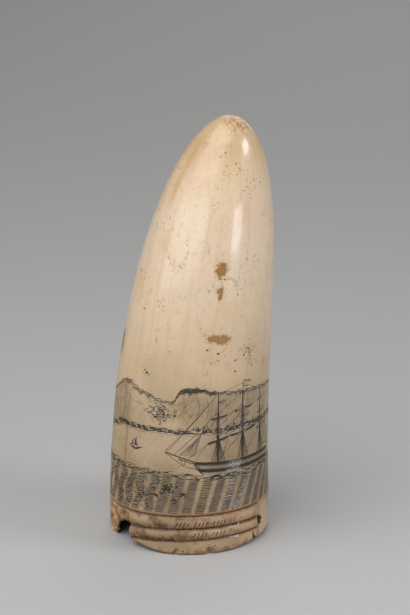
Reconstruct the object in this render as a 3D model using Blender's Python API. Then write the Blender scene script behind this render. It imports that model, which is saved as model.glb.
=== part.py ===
"""Scrimshaw whale tooth, a sperm whale's tooth that stands on its sawn root.

The tooth is one hollow piece. It has a straight foot with two carved rolls round its front,
a body that leans and narrows to a worn tip, and a conical pulp cavity that opens in the rim.
Its losses are cut last: a bite through the wall, a flake scar, a pit and small chips.
Lengths are in metres. +Z is up, the front faces -Y, and an azimuth is 0 at the front and
grows towards +X. The origin is on the ground under the middle of the tooth.
"""

import math

import bmesh
import bpy

MM = 0.001

# Size and form of the tooth
HEIGHT = 160.0 * MM
HALF_WIDTH = 30.0 * MM
DEPTH_TO_WIDTH = 0.93
STRAIGHT_FOOT = 12.0 * MM
TIP_BLUNTNESS = 2.825
WAIST = 0.17
LEAN_RISE = 12.0 * MM
LEAN_SWEEP = 13.6 * MM
LEAN_RETURN = 10.7 * MM

# Pulp cavity
RIM_WALL = 3.5 * MM
CAVITY_DEPTH = 72.0 * MM
CAVITY_TAPER = 1.25

# Rim
RIM_ROUNDING = 0.5 * MM
RIM_LIFT = 1.5 * MM
RIM_LIFT_FROM = 25.0
RIM_LIFT_TO = 115.0

# Carved grooves and rolls: a groove's height at the axis, and its rise towards +X and the front
LOW_GROOVE = {"height": 2.4 * MM, "side_rise": 0.046, "front_rise": 0.111}
MIDDLE_GROOVE = {"height": 6.8 * MM, "side_rise": 0.035, "front_rise": 0.118}
TOP_GROOVE = {"height": 13.5 * MM, "side_rise": 0.024, "front_rise": 0.065}
LEVEL_TURN = 0.1
GROOVE_DEPTH = 1.1 * MM
TOP_GROOVE_DEPTH = 0.6 * MM
TOP_GROOVE_WIDTH = 1.2 * MM
ROLL_RISE = 0.35 * MM
FOOT_INSET = 0.3 * MM
ROLLS_FROM = -75.0
ROLLS_TO = 58.0
ROLL_END_FADE = 4.0

# Losses. The bite's far side runs obliquely through the wall, by the degrees of its undercut
BREAK_AZIMUTH = -49.0
BREAK_STEP = 0.6
BITE_FULL_AZIMUTH = -57.0
BITE_FAR_AZIMUTH = -72.0
BITE_HEIGHT = 8.2 * MM
BITE_LEAST_HEIGHT = 1.0 * MM
BITE_UNDERCUT = 13.0
BITE_RAGGEDNESS = 0.5 * MM
FOOT_LOSS_HEIGHT = 2.8 * MM
FOOT_LOSS_END = -18.0
FOOT_LOSS_RAGGEDNESS = 0.12
FOOT_LOSS_FADE = 0.2 * MM
SCAR_FAR_AZIMUTH = -82.0
SCAR_FEATHER = 10.0
SCAR_DEPTH = 1.3 * MM
SCAR_EDGE_DEPTH = 0.33 * MM
SCAR_RAGGEDNESS = 0.15 * MM
PIT = {"azimuth": 60.5, "height": 7.4 * MM, "width": 3.2 * MM, "tall": 4.0 * MM, "deep": 2.4 * MM}
CRACK = {"azimuth": 54.0, "height": 2.6 * MM, "width": 1.0 * MM, "tall": 3.6 * MM, "deep": 0.9 * MM}
LEFT_CHIP = {"azimuth": -9.0, "height": 1.4 * MM, "width": 2.0 * MM, "tall": 2.2 * MM, "deep": 0.8 * MM}
RIGHT_CHIP = {"azimuth": 15.0, "height": 1.0 * MM, "width": 3.2 * MM, "tall": 3.4 * MM, "deep": 0.9 * MM}

# A cutter reaches this far past the surfaces that it goes through, and slivers under this are closed
CUTTER_REACH = 1.0 * MM
SPLINTER = 0.04 * MM

# Fineness of the faceted solid
SIDES = 72
BODY_RINGS = 24
ROLL_STEPS = 6
CAVITY_RINGS = 9

# Ivory, as the photograph shows it
IVORY_COLOUR = (0.68, 0.53, 0.36, 1.0)
IVORY_ROUGHNESS = 0.35
SMOOTH_UNDER = math.radians(40.0)


def clear_scene():
    for thing in list(bpy.data.objects):
        bpy.data.objects.remove(thing, do_unlink=True)


def smooth_step(value, low, high):
    """0 below low, 1 above high, and a smooth rise between them."""
    share = min(max((value - low) / (high - low), 0.0), 1.0)
    return share * share * (3.0 - 2.0 * share)


def window(azimuth, first, last, fade):
    """1 between two azimuths, fading to 0 outside them."""
    rise = smooth_step(azimuth, first - fade, first)
    fall = smooth_step(azimuth, last, last + fade)
    return rise * (1.0 - fall)


def body_share(height):
    """0 up to the top of the straight foot, and 1 at the tip."""
    return min(max((height - STRAIGHT_FOOT) / (HEIGHT - STRAIGHT_FOOT), 0.0), 1.0)


def half_width(height):
    share = body_share(height)
    crown = math.sqrt(max(1.0 - share ** TIP_BLUNTNESS, 0.0))
    return HALF_WIDTH * crown * (1.0 - WAIST * share * (1.0 - share))


def axis_offset(height):
    """How far the tooth's axis has leaned towards +X."""
    share = body_share(height)
    return LEAN_RISE * share ** 2 + LEAN_SWEEP * share ** 3 - LEAN_RETURN * share ** 4


def wall_point(azimuth, height, radius):
    """A point at an azimuth in degrees, on the ring whose half width is radius."""
    angle = math.radians(azimuth)
    x = axis_offset(height) + radius * math.sin(angle)
    y = -radius * DEPTH_TO_WIDTH * math.cos(angle)
    return (x, y, height)


def azimuths():
    return [-180.0 + 360.0 * i / SIDES for i in range(SIDES)]


def groove_height(groove, azimuth):
    """A groove's height at an azimuth. It dips from the front to the sides, and runs level behind."""
    angle = math.radians(azimuth)
    front = math.cos(angle)
    frontward = 0.5 * (front + math.sqrt(front * front + LEVEL_TURN))
    rise = groove["side_rise"] * HALF_WIDTH * math.sin(angle)
    rise += groove["front_rise"] * HALF_WIDTH * DEPTH_TO_WIDTH * frontward
    return groove["height"] + rise


def rim_height(azimuth):
    """The rim is flat on the ground, and worn up a little at its right front."""
    span = RIM_LIFT_TO - RIM_LIFT_FROM
    share = (azimuth - RIM_LIFT_FROM) / span
    if share <= 0.0 or share >= 1.0:
        return 0.0
    return RIM_LIFT * math.sin(math.pi * share) ** 2


def carved(azimuth):
    """1 where the rolls are carved, and 0 on the plain sides and back."""
    return window(azimuth, ROLLS_FROM, ROLLS_TO, ROLL_END_FADE)


def outer_ring(height_at, offset_at):
    """The points of one ring of the outside, from its height and offset at each azimuth."""
    points = []
    for azimuth in azimuths():
        height = height_at(azimuth)
        radius = half_width(height) + offset_at(azimuth)
        points.append(wall_point(azimuth, height, radius))
    return points


def roll_offset(share):
    """A roll's profile between the grooves under and over it, as a full half round."""
    swell = math.sin(math.pi * share) ** 0.55
    return -GROOVE_DEPTH + (GROOVE_DEPTH + ROLL_RISE) * swell


def between(low_at, high_at, share):
    return lambda azimuth: low_at(azimuth) + (high_at(azimuth) - low_at(azimuth)) * share


def foot_rings():
    """The rounded rim edge and the plain band under the lower roll."""
    def low_groove_at(azimuth):
        return groove_height(LOW_GROOVE, azimuth)

    def inset(azimuth):
        return -FOOT_INSET * carved(azimuth)

    rings = [outer_ring(rim_height, lambda azimuth: inset(azimuth) - RIM_ROUNDING)]
    rings.append(outer_ring(lambda azimuth: rim_height(azimuth) + RIM_ROUNDING, inset))
    rings.append(outer_ring(between(rim_height, low_groove_at, 0.8), inset))
    return rings


def roll_rings():
    """The lower roll, the upper roll, and the groove floors that part them."""
    rings = []
    for low, high in ((LOW_GROOVE, MIDDLE_GROOVE), (MIDDLE_GROOVE, TOP_GROOVE)):
        low_at = lambda azimuth, groove=low: groove_height(groove, azimuth)
        high_at = lambda azimuth, groove=high: groove_height(groove, azimuth)
        for step in range(ROLL_STEPS):
            share = step / ROLL_STEPS
            offset = roll_offset(share)
            offset_at = lambda azimuth, depth=offset: depth * carved(azimuth)
            rings.append(outer_ring(between(low_at, high_at, share), offset_at))
    return rings


def top_groove_rings():
    """The scribed line over the upper roll, which runs all round the tooth."""
    rings = []
    for side, depth in ((-0.5, 0.0), (0.0, TOP_GROOVE_DEPTH), (0.5, 0.0)):
        shift = side * TOP_GROOVE_WIDTH
        height_at = lambda azimuth, step=shift: groove_height(TOP_GROOVE, azimuth) + step
        rings.append(outer_ring(height_at, lambda azimuth, cut=depth: -cut))
    return rings


def body_rings():
    """The body from the scribed line to the worn tip, closer together where it turns in."""
    rings = []
    start = TOP_GROOVE["height"] + TOP_GROOVE_WIDTH
    for step in range(1, BODY_RINGS + 1):
        share = step / (BODY_RINGS + 0.6)
        flat_height = start + (HEIGHT - start) * (1.0 - (1.0 - share) ** 1.75)
        tilt = 1.0 - smooth_step(flat_height, start, start + HEIGHT * 0.25)

        def height_at(azimuth, level=flat_height, tilt=tilt):
            return level + tilt * (groove_height(TOP_GROOVE, azimuth) - TOP_GROOVE["height"])
        rings.append(outer_ring(height_at, lambda azimuth: 0.0))
    return rings


def cavity_radius(height):
    """The pulp cavity narrows from the rim's wall to nothing at its depth."""
    share = min(max(height / CAVITY_DEPTH, 0.0), 1.0)
    return (HALF_WIDTH - RIM_WALL) * (1.0 - share ** CAVITY_TAPER)


def cavity_ring(height_at):
    points = []
    for azimuth in azimuths():
        height = height_at(azimuth)
        points.append(wall_point(azimuth, height, cavity_radius(height)))
    return points


def cavity_rings():
    """The inside, from the rim up to the narrow end of the cavity."""
    rings = [cavity_ring(rim_height)]
    for step in range(1, CAVITY_RINGS + 1):
        level = CAVITY_DEPTH * step / (CAVITY_RINGS + 0.7)
        rings.append(cavity_ring(lambda azimuth, level=level: level))
    return rings


def skin_between(mesh, lower, upper):
    """A band of four-sided faces from one ring of points to the next."""
    for i in range(len(lower)):
        mesh.faces.new((lower[i - 1], lower[i], upper[i], upper[i - 1]))


def close_end(mesh, ring, height):
    """A shallow fan over the last ring, to a point on the tooth's axis."""
    end = mesh.verts.new(wall_point(0.0, height, 0.0))
    for i in range(len(ring)):
        mesh.faces.new((ring[i - 1], ring[i], end))


def build_solid():
    """The whole tooth as one skin: cavity, rim, foot, rolls and body, closed at both ends."""
    mesh = bmesh.new()
    rings = list(reversed(cavity_rings())) + foot_rings() + roll_rings()
    rings += top_groove_rings() + body_rings()
    loops = [[mesh.verts.new(point) for point in ring] for ring in rings]
    for lower, upper in zip(loops, loops[1:]):
        skin_between(mesh, lower, upper)
    close_end(mesh, loops[0], CAVITY_DEPTH)
    close_end(mesh, loops[-1], HEIGHT)
    bmesh.ops.recalc_face_normals(mesh, faces=mesh.faces)
    return mesh


def make_object(name, mesh):
    data = bpy.data.meshes.new(name)
    mesh.to_mesh(data)
    mesh.free()
    thing = bpy.data.objects.new(name, data)
    bpy.context.scene.collection.objects.link(thing)
    return thing


def roughness_of_break(azimuth, height):
    """A small uneven step, so that a broken face isn't smooth. It is between -1 and 1."""
    coarse = math.sin(azimuth * 0.55 + height / MM * 0.9)
    fine = math.sin(azimuth * 1.7 - height / MM * 2.3)
    return 0.65 * coarse + 0.35 * fine


def no_turn(azimuth):
    return 0.0


def wall_cutter(name, columns, rows, top_at, depth_at, turn_at=no_turn):
    """A block that follows the wall, from outside it to a depth under its surface.

    A column turns by the degrees of turn_at for each metre of depth, so its sides can slant.
    """
    mesh = bmesh.new()
    grids = []
    for layer in ("inner", "outer"):
        grid = []
        for azimuth in columns:
            line = []
            for row in range(rows + 1):
                bottom = -CUTTER_REACH
                height = bottom + (top_at(azimuth) - bottom) * row / rows
                depth = depth_at(azimuth, height) if layer == "inner" else -CUTTER_REACH
                turned = azimuth + turn_at(azimuth) * depth
                point = wall_point(turned, height, half_width(height) - depth)
                line.append(mesh.verts.new(point))
            grid.append(line)
        grids.append(grid)
    inner, outer = grids
    last = len(columns) - 1
    for i in range(last):
        for j in range(rows):
            for grid in grids:
                mesh.faces.new((grid[i][j], grid[i + 1][j], grid[i + 1][j + 1], grid[i][j + 1]))
        for j in (0, rows):
            mesh.faces.new((inner[i][j], inner[i + 1][j], outer[i + 1][j], outer[i][j]))
    for i in (0, last):
        for j in range(rows):
            mesh.faces.new((inner[i][j], inner[i][j + 1], outer[i][j + 1], outer[i][j]))
    bmesh.ops.recalc_face_normals(mesh, faces=mesh.faces)
    return make_cutter(name, mesh)


def make_cutter(name, mesh):
    cutter = make_object(name, mesh)
    cutter.hide_render = True
    cutter.display_type = "WIRE"
    return cutter


def steps(first, last, count):
    return [first + (last - first) * i / count for i in range(count + 1)]


def bite_cutter():
    """The bite through the wall at the left, and the foot lost beside it."""
    def top_at(azimuth):
        bite = BITE_HEIGHT * math.sqrt(smooth_step(azimuth, BITE_FAR_AZIMUTH, BITE_FULL_AZIMUTH))
        bite += BITE_RAGGEDNESS * roughness_of_break(azimuth, 0.0)
        if azimuth < BREAK_AZIMUTH:
            return max(bite, BITE_LEAST_HEIGHT)
        loss = FOOT_LOSS_HEIGHT * (azimuth - FOOT_LOSS_END) / (BREAK_AZIMUTH - FOOT_LOSS_END)
        loss *= 1.0 + FOOT_LOSS_RAGGEDNESS * roughness_of_break(azimuth, 0.0)
        return loss - FOOT_LOSS_FADE

    def depth_at(azimuth, height):
        return half_width(height) - cavity_radius(height) + CUTTER_REACH

    def turn_at(azimuth):
        far = max((azimuth - BREAK_AZIMUTH) / (BITE_FAR_AZIMUTH - BREAK_AZIMUTH), 0.0)
        return -BITE_UNDERCUT * far / RIM_WALL

    columns = steps(BITE_FAR_AZIMUTH, BREAK_AZIMUTH - BREAK_STEP, 9)
    columns += steps(BREAK_AZIMUTH, FOOT_LOSS_END, 10)
    return wall_cutter("bite cutter", columns, 2, top_at, depth_at, turn_at)


def scar_cutter():
    """The shallow flake scar, up to the scribed line, with a sharp edge across the rolls."""
    def top_at(azimuth):
        return groove_height(TOP_GROOVE, azimuth) - 0.5 * TOP_GROOVE_WIDTH

    def depth_at(azimuth, height):
        near = smooth_step(azimuth, SCAR_FAR_AZIMUTH, SCAR_FAR_AZIMUTH + SCAR_FEATHER)
        depth = near * SCAR_DEPTH - (1.0 - near) * SCAR_EDGE_DEPTH
        return depth + SCAR_RAGGEDNESS * roughness_of_break(azimuth, height)

    columns = steps(SCAR_FAR_AZIMUTH, BREAK_AZIMUTH - BREAK_STEP, 9)
    return wall_cutter("scar cutter", columns, 4, top_at, depth_at)


def hollow_cutter(name, hollow):
    """A small oval hollow in the surface, as wide, tall and deep as it says."""
    mesh = bmesh.new()
    bmesh.ops.create_icosphere(mesh, subdivisions=2, radius=1.0)
    angle = math.radians(hollow["azimuth"])
    height = hollow["height"]
    centre = wall_point(hollow["azimuth"], height, half_width(height))
    for vert in mesh.verts:
        bump = 1.0 + 0.12 * math.sin(5.0 * vert.co.x + 3.0 * vert.co.z)
        along = vert.co.x * 0.5 * hollow["width"] * bump
        out = vert.co.y * hollow["deep"]
        x = centre[0] + along * math.cos(angle) - out * math.sin(angle)
        y = centre[1] + along * math.sin(angle) + out * math.cos(angle)
        vert.co = (x, y, height + vert.co.z * 0.5 * hollow["tall"] * bump)
    return make_cutter(name, mesh)


def cut_losses(tooth):
    cutters = [bite_cutter(), scar_cutter()]
    cutters.append(hollow_cutter("pit cutter", PIT))
    cutters.append(hollow_cutter("crack cutter", CRACK))
    cutters.append(hollow_cutter("left chip cutter", LEFT_CHIP))
    cutters.append(hollow_cutter("right chip cutter", RIGHT_CHIP))
    for cutter in cutters:
        loss = tooth.modifiers.new(cutter.name, "BOOLEAN")
        loss.operation = "DIFFERENCE"
        loss.solver = "EXACT"
        loss.object = cutter
    clean = tooth.modifiers.new("clean", "WELD")
    clean.merge_threshold = SPLINTER
    facets = tooth.modifiers.new("facets", "TRIANGULATE")
    facets.quad_method = "BEAUTY"
    facets.ngon_method = "BEAUTY"
    return cutters


def centre_on_origin(things, points):
    """Moves every mesh so that the tooth's own box is centred over the origin."""
    middle_x = 0.5 * (min(x for x, y, z in points) + max(x for x, y, z in points))
    middle_y = 0.5 * (min(y for x, y, z in points) + max(y for x, y, z in points))
    for thing in things:
        for vert in thing.data.vertices:
            vert.co.x -= middle_x
            vert.co.y -= middle_y


def ivory():
    material = bpy.data.materials.new("aged ivory")
    material.use_nodes = True
    shader = material.node_tree.nodes["Principled BSDF"]
    shader.inputs["Base Color"].default_value = IVORY_COLOUR
    shader.inputs["Roughness"].default_value = IVORY_ROUGHNESS
    shader.inputs["Metallic"].default_value = 0.0
    return material


def main():
    clear_scene()
    tooth = make_object("whale_tooth", build_solid())
    tooth.data.materials.append(ivory())
    tooth.data.shade_smooth()
    tooth.data.set_sharp_from_angle(angle=SMOOTH_UNDER)
    cutters = cut_losses(tooth)
    centre_on_origin([tooth] + cutters, [tuple(vert.co) for vert in tooth.data.vertices])


main()
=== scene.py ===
import math
import random

import bpy
import numpy as np
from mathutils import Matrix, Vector, noise
from mathutils.geometry import delaunay_2d_cdt


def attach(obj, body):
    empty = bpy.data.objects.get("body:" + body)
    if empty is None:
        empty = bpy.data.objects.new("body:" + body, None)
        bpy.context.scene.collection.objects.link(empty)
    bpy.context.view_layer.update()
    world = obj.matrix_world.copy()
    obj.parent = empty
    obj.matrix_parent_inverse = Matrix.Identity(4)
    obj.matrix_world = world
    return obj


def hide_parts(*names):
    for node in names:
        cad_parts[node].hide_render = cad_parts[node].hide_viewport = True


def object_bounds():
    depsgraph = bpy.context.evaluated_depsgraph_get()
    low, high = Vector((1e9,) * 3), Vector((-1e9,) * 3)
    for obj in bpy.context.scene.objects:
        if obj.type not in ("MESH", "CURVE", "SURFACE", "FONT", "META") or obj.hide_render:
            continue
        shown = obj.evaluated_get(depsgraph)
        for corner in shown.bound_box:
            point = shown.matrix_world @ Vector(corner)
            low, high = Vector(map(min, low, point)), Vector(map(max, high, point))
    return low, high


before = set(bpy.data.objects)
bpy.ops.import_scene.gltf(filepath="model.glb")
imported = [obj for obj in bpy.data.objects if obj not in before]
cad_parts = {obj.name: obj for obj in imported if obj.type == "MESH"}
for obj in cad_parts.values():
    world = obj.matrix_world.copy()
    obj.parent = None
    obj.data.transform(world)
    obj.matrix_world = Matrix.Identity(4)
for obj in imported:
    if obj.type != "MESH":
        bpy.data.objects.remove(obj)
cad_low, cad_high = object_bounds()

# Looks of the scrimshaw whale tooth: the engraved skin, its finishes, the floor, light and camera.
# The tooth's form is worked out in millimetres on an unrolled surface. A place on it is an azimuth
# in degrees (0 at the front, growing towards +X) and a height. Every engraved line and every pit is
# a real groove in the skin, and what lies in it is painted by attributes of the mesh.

MM = 0.001
SEED = 7

# Form of the tooth, as in the solid
HEIGHT = 160.0
HALF_WIDTH = 30.0
DEPTH_TO_WIDTH = 0.93
STRAIGHT_FOOT = 12.0
TIP_BLUNTNESS = 2.825
WAIST = 0.17
LEAN_RISE, LEAN_SWEEP, LEAN_RETURN = 12.0, 13.6, 10.7
RIM_WALL = 3.5
RIM_ROUNDING = 0.5
CAVITY_DEPTH = 72.0
CAVITY_TAPER = 1.25
RIM_LIFT, RIM_LIFT_FROM, RIM_LIFT_TO = 1.5, 25.0, 115.0

# Grooves and rolls: height at the axis, rise towards +X, rise towards the front
LOW_GROOVE = (2.4, 0.046, 0.111)
MIDDLE_GROOVE = (6.8, 0.035, 0.118)
TOP_GROOVE = (13.5, 0.024, 0.065)
LEVEL_TURN = 0.1      # how softly a groove that rises to the front turns level behind
GROOVE_DEPTH = 1.1
TOP_GROOVE_DEPTH = 0.6
TOP_GROOVE_WIDTH = 1.2
ROLL_RISE = 0.35
FOOT_INSET = 0.3
ROLLS_FROM, ROLLS_TO, ROLL_END_FADE = -75.0, 58.0, 4.0
UNEVENNESS, UNEVEN_SIZE = 0.10, 14.0     # of the whole skin, as a polished tooth still has

# Losses
BREAK_AZIMUTH = -49.0
BREAK_STEP = 0.3      # degrees to the left of the rolls' broken ends, where the rim steps up
BITE_FULL_AZIMUTH = -57.0
BITE_FAR_AZIMUTH = -72.0
BITE_HEIGHT = 8.2
BITE_LOWEST = 0.9
BITE_RAGGEDNESS = 0.7
BITE_UNDERCUT = 13.0
UNDERCUT_END = -112.0
FOOT_LOSS_HEIGHT = 2.8
FOOT_LOSS_END = -18.0
SCAR_FAR_AZIMUTH = -82.0
SCAR_DEPTH = 1.3
SCAR_STEP = 0.4       # degrees to the left of the broken ends, where the scar's floor starts
SCAR_ROUGHNESS = 0.35
ROLL_END_ROUNDING = 1.6
ROLL_END_DROP = 0.9
# The pit, a crack and two chips: azimuth, height, half width, half height and depth in mm
HOLLOWS = (
    (60.5, 7.4, 1.6, 2.0, 2.4),
    (54.0, 2.6, 0.5, 1.9, 0.9),
    (-9.0, 1.4, 1.0, 1.1, 0.8),
    (15.0, 1.0, 1.6, 1.7, 0.9),
)

# The unrolled skin and the mesh's fineness
ARC = 0.506           # millimetres round the tooth for each degree
HALF_TURN = 180.0 * ARC
SKIN_TOP = 151.0      # the engraved and pitted skin ends here, and the plain tip starts
TIP_SIDES = 120
TIP_RINGS = 14
CAVITY_RINGS = 10
LINE_STEP = 1.2
LINE_END = 0.5        # a cut runs out to a point over this length
LINE_SHORTEST = 0.3   # a shorter one is left out
LINE_STEADY = 2.0     # a line up to this length doesn't waver
PIT_WIDTH = 1.3       # for a size of 1
PIT_DIRT = 2.6        # so that a pit is brown nearly to its edge
WEIGHT = 1.45         # every cut's width is multiplied by this, so that it shows at this size

# Charts of the baked picture: the front band gets most of it, for its fine lines
BAKE_SIDE, BAKE_TOP = 100.0, 72.0


def smooth_step(value, low, high):
    """0 up to one level, 1 from another, and an easy change between them."""
    share = np.clip((value - low) / (high - low), 0.0, 1.0)
    return share * share * (3.0 - 2.0 * share)


def half_width(z):
    """Half the plain form's width at a height."""
    share = np.clip((z - STRAIGHT_FOOT) / (HEIGHT - STRAIGHT_FOOT), 0.0, 1.0)
    crown = np.sqrt(np.maximum(1.0 - share ** TIP_BLUNTNESS, 0.0))
    return HALF_WIDTH * crown * (1.0 - WAIST * share * (1.0 - share))


def axis_offset(z):
    """How far the tooth leans to the side at a height."""
    share = np.clip((z - STRAIGHT_FOOT) / (HEIGHT - STRAIGHT_FOOT), 0.0, 1.0)
    return LEAN_RISE * share ** 2 + LEAN_SWEEP * share ** 3 - LEAN_RETURN * share ** 4


def wall_points(azimuth, z, radius):
    """Points in millimetres, on rings whose half width is radius."""
    angle = np.radians(azimuth)
    x = axis_offset(z) + radius * np.sin(angle)
    y = -radius * DEPTH_TO_WIDTH * np.cos(angle)
    return np.stack([x, y, z + 0.0 * x], axis=-1)


def groove_height(groove, azimuth):
    """A groove's height at an azimuth, as it tilts round the foot."""
    height, side_rise, front_rise = groove
    angle = np.radians(azimuth)
    front = np.cos(angle)
    frontward = 0.5 * (front + np.sqrt(front * front + LEVEL_TURN))
    rise = side_rise * HALF_WIDTH * np.sin(angle)
    return height + rise + front_rise * HALF_WIDTH * DEPTH_TO_WIDTH * frontward


def carved(azimuth):
    """1 where the rolls are carved, and 0 round the back."""
    rise = smooth_step(azimuth, ROLLS_FROM - ROLL_END_FADE, ROLLS_FROM)
    return rise * (1.0 - smooth_step(azimuth, ROLLS_TO, ROLLS_TO + 2.0))


def rough(azimuth, z, size, seed=0.0):
    """Uneven broken or worn surface, between about -1 and 1, with lumps of a size in mm."""
    a = np.asarray(azimuth, float) + 0.0 * np.asarray(z, float)
    h = np.asarray(z, float) + 0.0 * a
    points = wall_points(a, h, half_width(h)).reshape(-1, 3)
    values = [noise.fractal(Vector((x / size + seed, y / size, w / size)), 0.7, 2.1, 3)
              for x, y, w in points]
    return np.array(values).reshape(a.shape)


def rim_height(azimuth):
    """The rim: sawn flat, worn up at the right front, with the bite and the lost foot."""
    azimuth = np.asarray(azimuth, float)
    share = np.clip((azimuth - RIM_LIFT_FROM) / (RIM_LIFT_TO - RIM_LIFT_FROM), 0.0, 1.0)
    rim = RIM_LIFT * np.sin(math.pi * share) ** 2
    ragged = rough(azimuth, 0.0 * azimuth, 1.6)
    arch = np.sqrt(smooth_step(azimuth, BITE_FAR_AZIMUTH, BITE_FULL_AZIMUTH))
    bite = np.maximum(BITE_HEIGHT * arch + BITE_RAGGEDNESS * ragged, BITE_LOWEST)
    slope = (azimuth - FOOT_LOSS_END) / (BREAK_AZIMUTH - FOOT_LOSS_END)
    loss = np.clip(FOOT_LOSS_HEIGHT * slope * (1.0 + 0.2 * ragged), 0.0, None)
    in_bite = (azimuth > BITE_FAR_AZIMUTH) & (azimuth < BREAK_AZIMUTH - BREAK_STEP)
    in_loss = (azimuth >= BREAK_AZIMUTH - BREAK_STEP) & (azimuth < FOOT_LOSS_END)
    return np.where(in_bite, bite, np.where(in_loss, loss, rim))


def undercut(azimuth, depth):
    """The azimuth that a point on a break turns to, as the bite slants away through the wall."""
    near = np.clip((azimuth - BREAK_AZIMUTH) / (BITE_FAR_AZIMUTH - BREAK_AZIMUTH), 0.0, 1.0)
    beyond = np.clip((azimuth - UNDERCUT_END) / (BITE_FAR_AZIMUTH - UNDERCUT_END), 0.0, 1.0)
    return azimuth - BITE_UNDERCUT * np.minimum(near, beyond) * depth / RIM_WALL


def roll_profile(share):
    """A roll's section, from one groove to the next."""
    return -GROOVE_DEPTH + (GROOVE_DEPTH + ROLL_RISE) * np.sin(math.pi * share) ** 0.55


def hollow_reach(azimuth, z, hollow):
    """0 at the middle of a pit or chip, and 1 at its edge."""
    place, height, half_wide, half_tall = hollow[:4]
    across = (azimuth - place) * ARC / half_wide
    along = (z - height) / half_tall
    return np.sqrt(across ** 2 + along ** 2)


def relief(azimuth, z, rim):
    """How far the skin stands out of the plain form, in millimetres."""
    low = groove_height(LOW_GROOVE, azimuth)
    middle = groove_height(MIDDLE_GROOVE, azimuth)
    top = groove_height(TOP_GROOVE, azimuth)
    lower = np.clip((z - low) / (middle - low), 0.0, 1.0)
    upper = np.clip((z - middle) / (top - middle), 0.0, 1.0)
    roll = np.where(z < middle, roll_profile(lower), roll_profile(np.minimum(upper, 0.5)))
    roll = np.where(upper > 0.5, ROLL_RISE * np.cos(math.pi * (upper - 0.5)), roll)
    foot = -FOOT_INSET - (GROOVE_DEPTH - FOOT_INSET) * smooth_step(z, low - 0.9, low)
    roll = np.where(z < low, foot, roll)
    from_break = (azimuth - BREAK_AZIMUTH) * ARC
    end = np.clip(1.0 - from_break / ROLL_END_ROUNDING, 0.0, 1.0)
    drop = ROLL_END_DROP * (1.0 - np.sqrt(np.maximum(1.0 - end ** 2, 0.0)))
    roll = roll - np.where(z < top, drop, 0.0)
    offset = np.where(z < top, roll * carved(azimuth), 0.0)
    scribed = np.clip(1.0 - np.abs(z - top) / (0.5 * TOP_GROOVE_WIDTH), 0.0, 1.0)
    offset = offset - TOP_GROOVE_DEPTH * scribed * (0.55 + 0.45 * carved(azimuth))
    near = smooth_step(azimuth, SCAR_FAR_AZIMUTH, SCAR_FAR_AZIMUTH + 10.0)
    scar = -SCAR_DEPTH * (1.25 * near - 0.25) - SCAR_ROUGHNESS * rough(azimuth, z, 3.0, 9.0)
    under = smooth_step(top - 0.5 * TOP_GROOVE_WIDTH - z, 0.0, 0.5)
    in_scar = (azimuth < BREAK_AZIMUTH - SCAR_STEP) & (azimuth > SCAR_FAR_AZIMUTH)
    offset = np.where(in_scar, np.minimum(offset, scar * under), offset)
    ragged = 1.0 + 0.25 * rough(azimuth, z, 1.3, 4.0)
    for hollow in HOLLOWS:
        reach = hollow_reach(azimuth, z, hollow) * ragged
        offset = offset - hollow[4] * np.sqrt(np.clip(1.0 - reach ** 2, 0.0, 1.0))
    over_rim = np.clip(1.0 - (z - rim) / RIM_ROUNDING, 0.0, 1.0)
    offset = offset - RIM_ROUNDING * (1.0 - np.sqrt(1.0 - over_rim ** 2))
    return offset + UNEVENNESS * rough(azimuth, z, UNEVEN_SIZE, 2.0)


# The engraver's work, given as azimuths and heights. Each entry of lines is a path in millimetres
# round and up, its width, its ink and its dirt. Ink says how black the line is filled, and the dirt how
# brown: 1 is full. The mesh paint that gathers this dirt also carries painted shade in the grooves,
# under the rolls and at the rolls' ends.
hand = random.Random(SEED)
lines = []


def cut(points, width=0.24, wobble=0.12, ink=1.0, dirt=0.0):
    """One engraved line through the points, resampled and unsteady as a hand is."""
    flat = [(a * ARC, z) for a, z in points]
    length = sum(math.dist(p, q) for p, q in zip(flat, flat[1:]))
    if length < LINE_SHORTEST:
        return
    end = min(LINE_END, 0.25 * length)
    count = max(1, round((length - 2.0 * end) / LINE_STEP))
    stops = [0.0] + [end + (length - 2.0 * end) * i / count for i in range(count + 1)] + [length]
    path = [point_along(flat, stop) for stop in stops]
    if length > LINE_STEADY:
        path = [(x + hand.uniform(-wobble, wobble) * 0.5, y + hand.uniform(-wobble, wobble))
                for x, y in path]
    lines.append((path, WEIGHT * width * hand.uniform(0.85, 1.15), ink, dirt))


def point_along(flat, distance):
    """The place a distance along a path."""
    for p, q in zip(flat, flat[1:]):
        step = math.dist(p, q)
        if distance <= step or q is flat[-1]:
            share = min(distance / max(step, 1e-9), 1.0)
            return (p[0] + (q[0] - p[0]) * share, p[1] + (q[1] - p[1]) * share)
        distance -= step
    return flat[-1]


def pit(azimuth, z, size, dirt=1.0, ink=0.0):
    """A small pit of a size in mm, about as long as it is wide, and turned any way."""
    turn = hand.uniform(0.0, math.pi)
    long = size * hand.uniform(0.5, 0.75)
    x, y = azimuth * ARC, z
    step = (long * math.cos(turn), long * math.sin(turn))
    path = [(x - step[0], y - step[1]), (x, y), (x + step[0], y + step[1])]
    lines.append((path, PIT_WIDTH * size, ink, PIT_DIRT * dirt))


def scatter(azimuth, z, spread, number, size, ink=0.0, dirt=1.0):
    """A cluster of pits about a place, spread so many millimetres to each side."""
    for i in range(number):
        a = azimuth + hand.gauss(0.0, spread) / ARC
        pit(a, z + hand.gauss(0.0, 0.7 * spread), size * hand.uniform(0.5, 1.3), dirt, ink)


def bar(first, second, width, layers=1, ink=1.0):
    """A straight dark bar, such as a yard: one or more lines, each overlapping the last."""
    (a0, z0), (a1, z1) = first, second
    for i in range(layers):
        drop = i * 0.75 * width * WEIGHT
        cut([(a0, z0 - drop), (0.5 * (a0 + a1), 0.5 * (z0 + z1) - drop), (a1, z1 - drop)],
            width, 0.04, ink)


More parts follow.
